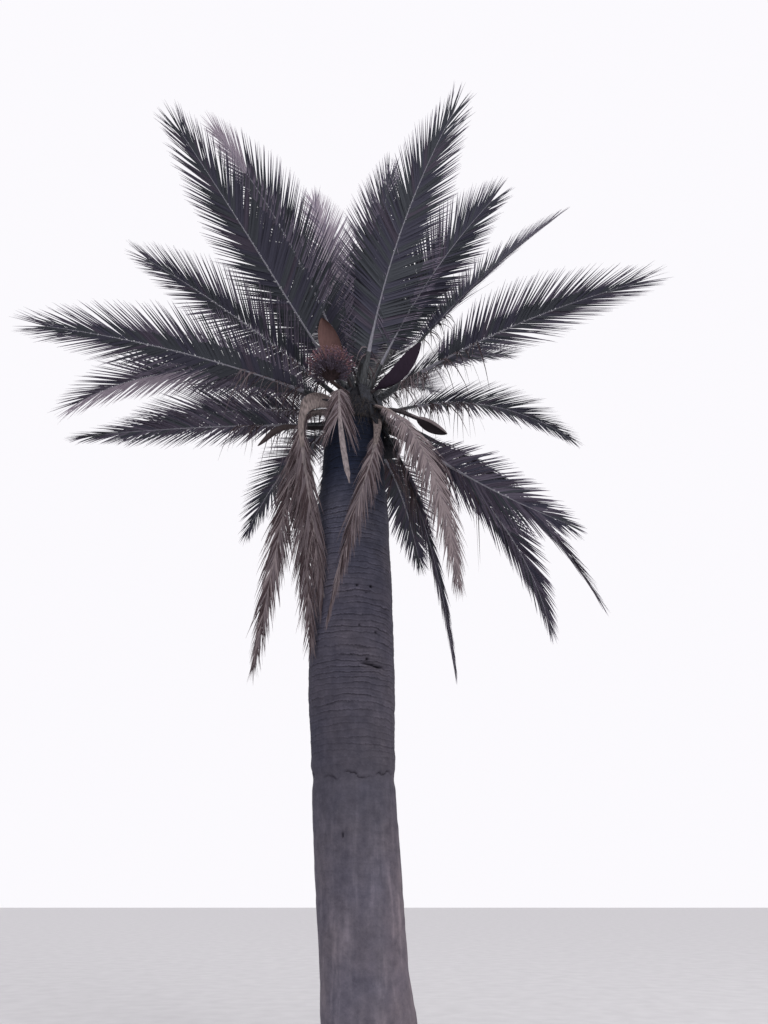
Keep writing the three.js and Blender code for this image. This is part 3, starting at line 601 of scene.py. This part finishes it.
def bract_skin(knots, stalk, width, depth, opening, hollow):
    """A boat carried along its path: the outer face is a half round, the inner one the same half round with
    its depth times the hollow, and both swell and taper as the sine of the boat's share to the 0.8."""
    share = np.linspace(0, 1, bract_stations)
    places = smooth_path(knots, share)
    ahead = unit(np.gradient(places, axis=0))
    across = unit(np.cross(np.array(opening, float), ahead))
    top = np.cross(ahead, across)
    boat = np.clip((share - stalk) / (1 - stalk), 0, 1)[:, None]
    swell = np.sin(np.pi * boat**0.8) ** 0.75
    thin = 0.034 * (1 - boat) + 0.008
    wide = (thin + (width - thin) * swell)[..., None]
    deep = (thin + (depth - thin) * swell)[..., None]
    turn = np.pi * np.arange(bract_half + 1) / bract_half
    ribbing = 1 - 0.035 * np.abs(np.sin(turn * 9)) * np.sin(turn)
    dent = -0.35 + (hollow + 0.35) * np.clip((share[:, None] - stalk) * 4, 0, 1)
    back, one = turn[-2:0:-1], np.ones_like(boat)
    outer = np.stack([-np.cos(turn) * one, 0.5 - np.sin(turn) * ribbing * one], -1)
    inner = np.stack([-np.cos(back) * one, 0.5 - np.sin(back) * np.maximum(dent, -0.35)], -1)
    loop = np.concatenate([outer, inner], 1)
    sideways = loop[..., :1] * across[:, None] * wide / 2
    return (places[:, None] + sideways + loop[..., 1:] * top[:, None] * deep)[None]


def woody_finish(name, colour, roughness=0.6, contrast=0.4, gloss=0.3):
    """Wood with long grain lines, darker and paler than one colour by the contrast."""
    steps = ((0.3, 1 - contrast), (0.5, 1.0), (0.7, 1 + contrast))
    stops = [(at, tuple(part * by for part in colour)) for at, by in steps]
    return grained_finish(name, stops, roughness, gloss, (1, 1, 0.25), 46.0, 0.003, 5)


for name, knots, stalk, width, depth, opening, bract_hollow, outside, lining in bract_rows:
    finishes = [
        woody_finish(name + "_skin", outside, 0.7, 0.2, 0.12),
        woody_finish(name + "_lining", lining, 0.8, 0.12, 0.1),
        woody_finish(name + "_stalk", (0.034, 0.027, 0.030), 0.75, 0.4),
    ]
    inner_face = (np.arange(2 * bract_half) >= bract_half).astype(int)
    on_stalk = np.linspace(0, 1, bract_stations)[1:, None] < stalk * 0.9
    lined = np.where(on_stalk, 2, inner_face)[None]
    rings = bract_skin(knots, stalk, width, depth, opening, bract_hollow)
    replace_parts(make_piece(name + "_boat", [(rings, lined)], finishes), name)

# The flower cluster: a stalk that leaves the heart under the open bract and ends in a dense burr of
# fleshy branchlets, each strung with dark red-purple buds that crowd its outer half.
cluster_centre = np.array([-0.555, -0.680, 7.440])
cluster_spread = np.array([0.300, 0.265, 0.235])
cluster_foot = np.array([-0.530, -0.600, 7.235])
branchlet_count = 300
bud_stations = 8


def fibonacci_ways(count):
    """Directions spread evenly over a ball: equal steps of height and the golden angle round."""
    k = np.arange(count) + 0.5
    rise = 1 - 2 * k / count
    turn = k * 2.399963
    flat = np.sqrt(1 - rise**2)
    return np.stack([flat * np.cos(turn), flat * np.sin(turn), rise], -1)


def beads(centres, ways, length, roundness, sides=5):
    """Small closed buds: rings whose radius follows the share along the bud, flat at the foot, pointed."""
    share = np.array([0.0, 0.25, 0.6, 1.0])
    radius = np.array([0.55, 1.0, 0.85, 0.12]) * roundness[:, None] / 2
    side = unit(np.cross(ways, np.array([0.31, 0.52, 0.79])))
    spokes = wheel(side, np.cross(ways, side), sides)
    middles = centres[:, None] + ways[:, None] * (share - 0.4)[:, None] * length[:, None, None]
    return middles[:, :, None] + spokes[:, None] * radius[..., None, None]


def branchlet_places(bends, ends, t):
    """Places at shares t of every branchlet: a quadratic curve from the stalk to its end, past its bend."""
    return cluster_foot * (1 - t) ** 2 + bends[:, None] * 2 * t * (1 - t) + ends[:, None] * t**2


rng = np.random.default_rng(21)
ways = unit(fibonacci_ways(branchlet_count) + rng.normal(0, 0.06, (branchlet_count, 3)))
ways = ways[ways[:, 2] > -0.62]
ends = cluster_centre + ways * cluster_spread * rng.uniform(0.84, 1.05, (len(ways), 1))
bends = cluster_foot * 0.35 + cluster_centre * 0.65 + (ends - cluster_centre) * 0.30
branchlets = branchlet_places(bends, ends, np.linspace(0.0, 1, 12)[:, None])
stalk_share = np.linspace(0, 1, 16)
stalk_knots = [(-0.320, -0.180, 7.330), (-0.450, -0.430, 7.290), cluster_foot + [0, 0, 0.02]]
stalk_path = smooth_path(stalk_knots, stalk_share)
strung = np.linspace(0.62, 1.0, bud_stations)[:, None]
middle = branchlet_places(bends, ends, strung)
lean_out = unit((ends - bends)[:, None] / 0.2 + rng.normal(0, 0.8, middle.shape)).reshape(-1, 3)
middle = middle.reshape(-1, 3) + lean_out * 0.008
bud_size = rng.uniform(0.70, 1.10, len(middle)) * 0.014
bud_rings = beads(middle, lean_out, bud_size * 2.1, bud_size)
bud_tint = rng.choice(3, (len(bud_rings), 1, 1), p=[0.45, 0.30, 0.25])
shaded = np.tile(strung[:, 0] < 0.80, len(ways)) | (middle[:, 2] < cluster_centre[2] - 0.06)
bud_tint = np.where(shaded[:, None, None], 3, bud_tint)
bud_finishes = [plain_finish("bud_" + name, colour, 0.55, 0.35, 160.0, 0.001) for name, colour in (
    ("wine", (0.168, 0.080, 0.106)), ("plum", (0.130, 0.084, 0.122)),
    ("rose", (0.240, 0.125, 0.130)), ("shade", (0.080, 0.063, 0.092)),
)]
stem_wood = woody_finish("cluster_stem", (0.040, 0.024, 0.026), 0.7)
stems = make_piece("flower_branchlets", [
    (strands(branchlets, np.linspace(0.010, 0.005, 12), 4), 0),
    (strands(stalk_path[None], 0.058 - 0.008 * stalk_share, 12), 0),
], [stem_wood])
buds = make_piece("flower_buds", [(bud_rings, bud_tint)], bud_finishes)
for piece in (stems, buds):
    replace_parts(piece, "flower_cluster")

# The fronds. Each has one rib from its sheath in the heart to its tip: a broad channelled petiole, bare of
# leaflets, that thins to a wand. Its slope falls from the rise by the bend times the share to the curl.
petiole_share = 0.13  # of the rib, where its row says nothing else
rib_sunk = 0.070  # how far inside the dome a rib starts
longest_leaflet = 0.730  # of a frond of size 1
frond_kinds = {
    # curl, leaflets on each side, first and last spread, lift, fall, size, and the last ones' share of reach
    "high": (1.3, 150, (64, 11), 14, 0.05, 1.1, 0.5),
    "spreading": (1.2, 122, (64, 11), 14, 0.06, 1.05, 0.5),
    "drooping": (0.9, 104, (56, 7), 18, 0.14, 0.86, 0.4),
    "hanging": (0.6, 116, (46, 7), 6, 0.40, 0.66, 0.36),
    "dead": (0.25, 200, (44, 11), 4, 1.0, 0.82, 0.36),
}
leaflet_widths = {"high": 0.033, "spreading": 0.029, "drooping": 0.030, "hanging": 0.032, "dead": 0.020}
# The dark tone puts the undersides' darker colours on a frond's upper faces, as painted shade; the pale tone
# paints a frond in the palest lilac, as painted skylight.
leaflet_tones = {  # upper tints dealt out to the sprays of a frond, by what its row says
    "live": [0, 0, 0, 1, 1, 1, 1, 2], "tipped": [0, 0, 0, 1, 1, 1, 1, 2], "mauve": [2, 2, 1, 0],
    "pale": [8, 8, 6], "dark": [3, 3, 4], "dead": [0, 0, 1, 2, 2], "faded": [1, 1, 0],
}
petiole_bell = 1.25  # the half width of the petiole's broad part, over its share
rib_shares = np.linspace(0, 1, 64) ** 1.25
rib_sides = 10
leaflet_stations = np.array([0, 0.10, 0.34, 0.62, 0.86, 1.0])
leaflet_taper = np.array([0.6, 1.0, 0.90, 0.54, 0.26, 0.05])
leaflet_walls = len(leaflet_stations) - 1
leaf_thickness = 0.0025
spray_size = 3
down = np.array([0, 0, -1.0])


def heading(row, curl, s):
    """The way ahead and the level way across at shares s of a rib: slope is rise - bend * s^curl, or with a
    fold rise - bend * (1 - exp(-(s/fold)^2)), and azimuth is azimuth + swing * sqrt(s)."""
    azimuth, _, rise, bend, _, swing, own = row
    bent = 1 - np.exp(-((s / own["fold"]) ** 2)) if "fold" in own else s ** own.get("curl", curl)
    slope = np.radians(rise - bend * bent)
    turned = np.radians(azimuth + swing * np.sqrt(s))
    ahead = np.stack([np.cos(slope) * np.cos(turned), np.cos(slope) * np.sin(turned), np.sin(slope)], -1)
    return ahead, np.stack([np.sin(turned), -np.cos(turned), np.zeros_like(s)], -1)


def rib_line(row, curl, s):
    """Places and axes at shares s of a rib: the headings added up from the seat in the heart, and the level
    and upper directions rolled about the rib over its first third."""
    azimuth, seat, _, _, length, _, own = row
    fine = np.linspace(0, 1, 481)
    steps = heading(row, curl, (fine[1:] + fine[:-1]) / 2)[0] * length / (len(fine) - 1)
    out = float(eased(heart_profile, np.array(seat / heart_height))) - rib_sunk
    foot = round_heart(out, math.radians(azimuth), seat)
    travelled = np.vstack([np.zeros(3), np.cumsum(steps, 0)])
    place = foot + read_off(s, fine, travelled)
    ahead, side = heading(row, curl, np.maximum(s, 0.004))
    top = np.cross(side, ahead)
    rolled = np.ones_like(s) if "strap" in own else soft_step(np.clip(s / 0.35, 0, 1))
    roll = (math.radians(own.get("roll", 0)) * rolled)[:, None]
    across = side * np.cos(roll) + top * np.sin(roll)
    return place, ahead, across, np.cross(across, ahead)


def rib_width(row, s):
    """A rib's width and height: an even taper to the tip, and a bell that carries the broad petiole. A hump
    of sine is a dead petiole that has flattened to a strap, and a soft step is a thick bare end."""
    own = row[6]
    strap = own.get("strap", 0) * np.sin(np.pi * np.minimum(s / 0.2, 1))
    stub = own.get("stub", 0) * soft_step(np.clip((s - 0.2) / 0.6, 0, 1))
    broad = np.exp(-((s / (own.get("petiole", petiole_share) * petiole_bell)) ** 2))
    point = np.clip((1 - s) / 0.08, 0.3, 1) if "stub" in own else 1
    width = 0.006 + 0.021 * (1 - s) + 0.094 * broad + strap + stub
    return width * point, (0.005 + 0.018 * (1 - s) + 0.029 * broad) * point


def rib_skin(row, curl):
    """The rib's section carried along it: an oval, flatter above, where the petiole has a channel."""
    s = rib_shares
    place, _, across, top = rib_line(row, curl, s)
    width, height = (part[:, None] for part in rib_width(row, s))
    turn = -2 * np.pi * np.arange(rib_sides) / rib_sides
    x, y = fuller(np.cos(turn), 0.8), np.sin(turn)
    channel = 0.65 * np.exp(-s / 0.2)[:, None] * np.exp(-((x / 0.45) ** 2))
    y = np.where(y > 0, y * (1 - channel) * 0.8, y)
    sideways = across[:, None] * (x * width / 2)[..., None]
    return place[:, None] + sideways + top[:, None] * (y * height / 2)[..., None]


def tongue_skin(row, curl, stations=26, sides=10):
    """A petiole's foot, a broad tongue that comes up the dome from 0.28 m below the seat and thins to the
    petiole's own width: a flat oval, its width by rows of share and width, and its section untwisted."""
    azimuth, seat = math.radians(row[0]), row[1]
    low = np.maximum(np.array([seat - 0.28, seat - 0.19, seat - 0.09]), 0.004)
    out = eased(heart_profile, low / heart_height) + np.array([-0.012, 0.012, 0.020])
    on_dome = round_heart(out, azimuth, low)
    beyond = rib_line(row, curl, np.array([0.035, 0.060, 0.090]))[0]
    share = np.linspace(0, 1, stations)
    places = smooth_path(np.vstack([on_dome, beyond]), share)
    ahead = unit(np.gradient(places, axis=0))
    across = np.array([math.sin(azimuth), -math.cos(azimuth), 0.0])
    top = np.cross(across, ahead)
    width = np.interp(share, [0, 0.12, 0.35, 0.6, 1], [0.06, 0.17, 0.19, 0.14, 0.046])[:, None, None]
    deep = np.interp(share, [0, 0.12, 0.5, 1], [0.010, 0.030, 0.044, 0.036])[:, None, None]
    turn = -2 * np.pi * np.arange(sides) / sides
    oval = np.stack([fuller(np.cos(turn), 0.7), np.sin(turn)], -1)
    return places[:, None] + across * oval[:, :1] * width / 2 + top[:, None] * oval[:, 1:] * deep / 2


# The ribs and bracts as lines of places with radii, which no leaflet may grow through.
clearance = 0.012
all_rows = [(kind, row) for kind, rows in frond_rows.items() for row in rows]
limb_shares = np.linspace(0.02, 1, 100)
limbs = [
    (rib_line(row, frond_kinds[kind][0], limb_shares)[0], rib_width(row, limb_shares)[0] / 2 + clearance)
    for kind, row in all_rows
]
bract_shares = np.linspace(0.05, 1, 30)
bract_limbs = [
    (smooth_path(row[1], bract_shares), np.full_like(bract_shares, row[3] / 2 + 0.01)) for row in bract_rows
]


def clear_of_stem(p):
    """True where a point is outside the trunk and the heart by the clearance."""
    z = p[..., 2]
    share = (z - trunk_height) / heart_height
    on_trunk = np.hypot(p[..., 0] - lean_at(z), p[..., 1]) > eased(trunk_profile, z) + clearance
    radius = np.where(share < 1, eased(heart_profile, np.clip(share, 0, 1)), -1)
    on_heart = np.hypot(p[..., 0] - heart_centre[0], p[..., 1]) > radius + clearance
    return np.where(share < 0, on_trunk, on_heart) & (z > 0.02)


def clear_of_limbs(p, own_rib):
    """True where a point is outside every other rib, the bracts and the flower cluster."""
    others = limbs[:own_rib] + limbs[own_rib + 1:] + bract_limbs
    centres, radius = (np.concatenate(parts) for parts in zip(*others))
    flat = p.reshape(-1, 3)
    squares = (flat**2).sum(1)[:, None] - 2 * flat @ centres.T + ((centres**2).sum(1) - radius**2)
    burr = np.linalg.norm((flat - cluster_centre) / (cluster_spread + 0.02), axis=-1) > 1
    return ((squares.min(1) > 0) & burr).reshape(p.shape[:-1])


def leaflet_lines(row, kind, own_rib, seed):
    """The leaflets' midlines, on both sides of one rib. Each leaves the rib's edge at the spread, lifted
    above the blade, and falls: its way starts with a little of the pull of gravity and ends with most of it.
    Its reach grows to a third of the way along the frond and then tapers. One that would meet the stem or
    another limb is shortened, and then left out."""
    curl, count, spread, lift, fall, size, tip = frond_kinds[kind]
    own = row[6]
    rng = np.random.default_rng(seed)
    dead = kind == "dead"
    unruly = {"dead": 6, "drooping": 2.4}.get(kind, 1.1)
    hand = np.repeat([1.0, -1.0], count)
    step = (np.tile(np.arange(count), 2) + 0.5 + rng.uniform(-0.2, 0.2, 2 * count)) / count
    petiole = own.get("petiole", petiole_share)
    s = petiole + (1 - petiole) * np.clip(1.03 * step - 0.03, -0.03, 0.997)
    place, ahead, across, top = rib_line(row, curl, s)
    leafy = np.maximum((s - petiole) / (1 - petiole), 0)[:, None]
    angle = (spread[0] + (spread[1] - spread[0]) * leafy**1.3) * own.get("hug", 1)
    angle = np.radians(angle + rng.normal(0, 1, (2 * count, 1)) * (unruly + 5 * leafy**6))
    lifted = np.radians(lift + rng.normal(0, 9 if dead else 3, (2 * count, 1)))
    out = hand[:, None] * across * np.cos(lifted) + top * np.sin(lifted)
    straight = ahead * np.cos(angle) + out * np.sin(angle)
    bare = own.get("bare", 0)
    growing = 0.4 + 0.6 * np.sin(np.clip((leafy - bare) / 0.3, 0, 1) * np.pi / 2)
    tapering = 1 - (1 - tip) * (np.clip(leafy - 0.3, 0, 1) / 0.7) ** 2.6
    grown = np.where(leafy < 0.3 + bare, growing, tapering)
    reach = longest_leaflet * size * grown * rng.uniform(0.72 if dead else 0.95, 1.07, (2 * count, 1))
    leave = unit(straight + down * fall * 0.4)
    arrive = unit(straight + down * fall * 1.6)
    root = place + hand[:, None] * across * rib_width(row, s)[0][:, None] * 0.42
    t = leaflet_stations[:, None]
    bow = leave[:, None] * (t - t**2 / 2) + arrive[:, None] * t**2 / 2
    lines = np.zeros((2 * count, len(t), 3))
    missing = (leafy[:, 0] > own.get("until", 1)) | (leafy[:, 0] < bare)
    missing |= rng.random(2 * count) < own.get("sparse", 0)
    placed = np.zeros(2 * count, bool)
    for shorter in (1, 0.8, 0.6, 0.42):
        tried = root[:, None] + bow * reach[:, None] * shorter
        clear = (clear_of_stem(tried[:, 1:]) & clear_of_limbs(tried[:, 1:], own_rib)).all(1)
        fits = clear & ~missing & ~placed
        lines[fits] = tried[fits]
        placed |= fits
    return lines[placed], ahead[placed], hand[placed], leafy[placed, 0]


def leaflet_skins(lines, ahead, hand, wide, twist, fold):
    """Leaflets folded along the middle like a roof: four corners at each station, right edge, ridge, left
    edge and the underside of the ridge, on a blade that narrows at its root and draws out to a point."""
    along = unit(np.gradient(lines, axis=1))
    blade = hand[:, None, None] * ahead[:, None]
    blade = unit(blade - (blade * along).sum(-1, keepdims=True) * along)
    normal = np.cross(along, blade)
    cosine, sine = np.cos(twist)[:, None, None], np.sin(twist)[:, None, None]
    blade, normal = blade * cosine + normal * sine, normal * cosine - blade * sine
    taper = leaflet_taper[None, :, None] * wide[:, None, None] / 2
    ridge = lines + normal * taper * fold
    below = ridge - normal * np.minimum(leaf_thickness, taper)
    return np.stack([lines + blade * taper, ridge, lines - blade * taper, below], 2)


def spray_tints(count, choices, seed):
    """One tint for each spray of neighbouring leaflets, picked from the choices by a seeded draw."""
    sprays = np.random.default_rng(seed).choice(choices, count // spray_size + 2)
    return sprays[np.arange(count) // spray_size]


veins = (55.0, 0.0015, 3)  # fineness, height and detail of a leaflet's grain
live_finishes = [plain_finish(*row, *veins) for row in (
    ("leaflet_green", (0.092, 0.098, 0.103), 0.42, 0.5),
    ("leaflet_grey", (0.120, 0.117, 0.133), 0.40, 0.5),
    ("leaflet_mauve", (0.150, 0.132, 0.156), 0.38, 0.5),
    ("underside_slate", (0.044, 0.043, 0.067), 0.6, 0.25),
    ("underside_green", (0.044, 0.049, 0.060), 0.6, 0.25),
    ("underside_plum", (0.060, 0.050, 0.074), 0.6, 0.25),
    ("leaflet_tip", (0.200, 0.168, 0.225), 0.6, 0.25),
    ("leaflet_paling", (0.108, 0.094, 0.130), 0.6, 0.25),
    ("leaflet_lilac", (0.345, 0.292, 0.350), 0.38, 0.5),
)]
# The back tints are the front tints made about a third darker: painted shade on the dead leaflets'
# undersides.
dead_finishes = [plain_finish("straw_" + row[0], *row[1:], 0.2, *veins) for row in (
    ("grey", (0.157, 0.127, 0.138), 0.8), ("rose", (0.236, 0.193, 0.200), 0.8),
    ("brown", (0.069, 0.048, 0.052), 0.85), ("shaded_back_grey", (0.108, 0.084, 0.091), 0.85),
    ("shaded_back_rose", (0.170, 0.137, 0.135), 0.85), ("shaded_back_brown", (0.043, 0.030, 0.034), 0.85),
    ("tip", (0.160, 0.125, 0.135), 0.85), ("paling", (0.129, 0.100, 0.108), 0.85),
)]
tip_tint, paling_tint, lilac_tint = 6, 7, 8  # places in the rows above
live_rib = woody_finish("pale_rib", (0.200, 0.196, 0.228), 0.5, 0.3)
live_petiole = woody_finish("olive_petiole", (0.042, 0.045, 0.050), 0.5, 0.85)
dead_rib = woody_finish("dry_rib", (0.190, 0.160, 0.163), 0.75, 0.5)
dead_petiole = woody_finish("dry_petiole", (0.200, 0.163, 0.156), 0.75, 0.6)

# The feet of the petioles: broad woody tongues that clasp the dome, painted nearly black and blue as shade
# under the crown.
shaded_foot_wood = woody_finish("sheath_foot_painted_shade", (0.022, 0.023, 0.030), 0.8, 0.8)
tongues = np.stack([tongue_skin(row, frond_kinds[kind][0]) for kind, row in all_rows])
clasps = make_piece("petiole_feet", [(tongues, 0)], [shaded_foot_wood])
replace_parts(clasps, "crown_heart")

# Each kind of frond is two pieces, its ribs and its leaflets. A leaflet's finish goes by its spray, its
# side, its nearness to the tip and the tone of its frond.
nodes = {kind: [f"{kind}_frond_{k + 1}" for k in range(len(rows))] for kind, rows in frond_rows.items()}
for kind, rows in frond_rows.items():
    live = kind != "dead"
    curl = frond_kinds[kind][0]
    ribs = np.stack([rib_skin(row, curl) for row in rows])
    petioles = np.array([row[6].get("petiole", petiole_share) for row in rows])[:, None]
    on_petiole = rib_shares[1:] < petioles * petiole_bell
    rib_finishes = [live_rib, live_petiole] if live else [dead_rib, dead_petiole]
    wands = make_piece(
        kind + "_frond_ribs", [(ribs, np.repeat(on_petiole[..., None], rib_sides, 2).astype(int))],
        rib_finishes,
    )
    skins = []
    for at, row in enumerate(rows, [k for k, _ in all_rows].index(kind)):
        rng = np.random.default_rng(500 + at)
        lines, ahead, hand, leafy = leaflet_lines(row, kind, at, 100 + at)
        wide = leaflet_widths[kind] * np.interp(leafy, [0, 0.02, 0.12, 0.6, 1], [0.4, 0.6, 1, 0.92, 0.46])
        twist = rng.normal(0, 0.14 if live else 0.6, len(lines))
        tone = row[6].get("tone", "live" if live else "dead")
        tint = spray_tints(len(lines), leaflet_tones[tone], 900 + at)
        # Undersides take tints 3 to 5: the undersides' own colours on live fronds, and darker copies of the
        # upper tints, painted shade, on dead ones. A pale frond keeps its painted-skylight tints on both
        # faces.
        under = tint if tone == "pale" else tint % 3 + 3
        faces = np.stack([tint, tint, under, under], -1)[:, None].repeat(leaflet_walls, 1)
        if tone != "pale":
            paling_from = 2 if kind == "spreading" else 3
            faces[:, -1] = tip_tint
            faces[rng.random(len(lines)) < 0.7, paling_from:-1] = paling_tint
        if tone == "mauve":
            faces[rng.random(len(lines)) < 0.35, :-1, 2:] = paling_tint
        if tone == "tipped":
            faces[leafy > 0.80] = lilac_tint
        if "faded_side" in row[6]:
            faces[(hand == row[6]["faded_side"]) & (leafy > 0.42)] = lilac_tint
        fold = 0.34 if live else 0.7
        skins.append((leaflet_skins(lines, ahead, hand, wide, twist, fold), faces))
    blades = make_piece(
        kind + "_frond_leaflets", skins, live_finishes if live else dead_finishes, smooth=False,
    )
    for piece in (wands, blades):
        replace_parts(piece, *nodes[kind])

# Thin dry leaflets left on the petioles of the live fronds: withered ribbons that stand out a little way
# and hang.


def dry_lines(row, curl, own_rib, count, first, last, seed):
    """Midlines of withered leaflets from one petiole: out to its side by the share, down by its square."""
    rng = np.random.default_rng(seed)
    petiole = row[6].get("petiole", petiole_share)
    s = rng.uniform(first * petiole, min(last * petiole, 0.46), count)
    place, ahead, across, _ = rib_line(row, curl, s)
    hand = rng.choice([-1.0, 1.0], count)
    root = place + across * (hand * rib_width(row, s)[0] * 0.46)[:, None]
    length = rng.uniform(0.25, 0.80, (count, 1, 1))
    t = leaflet_stations[:, None]
    out = (across * hand[:, None] * 0.4 + ahead * rng.uniform(-0.1, 0.6, (count, 1)))[:, None]
    fall = rng.uniform(0.6, 1.0, (count, 1, 1)) * down
    lines = root[:, None] + length * (out * (t - 0.25 * t**2) + fall * (0.4 * t + 0.6 * t**2))
    clear = clear_of_stem(lines[:, 1:]).all(1) & clear_of_limbs(lines[:, 2:], own_rib).all(1)
    return lines[clear], ahead[clear], hand[clear]


skins = []
for at, (kind, row) in enumerate(all_rows):
    if kind == "dead":
        continue
    count, first, last = (24, 0.35, 1.3) if kind == "high" else (46, 0.7, 3.0)
    lines, ahead, hand = dry_lines(row, frond_kinds[kind][0], at, count, first, last, 700 + at)
    rng = np.random.default_rng(740 + at)
    twist = rng.normal(0, 0.9, len(lines))
    tint = rng.choice([0, 2, 2, 3, 5], (len(lines), 1, 1))
    rings = leaflet_skins(lines, ahead, hand, rng.uniform(0.011, 0.018, len(lines)), twist, 0.6)
    skins.append((rings, np.broadcast_to(tint, (len(lines), leaflet_walls, 4))))
ribbons = make_piece("withered_leaflets", skins, dead_finishes, smooth=False)
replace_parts(ribbons, *[node for kind in nodes if kind != "dead" for node in nodes[kind]])
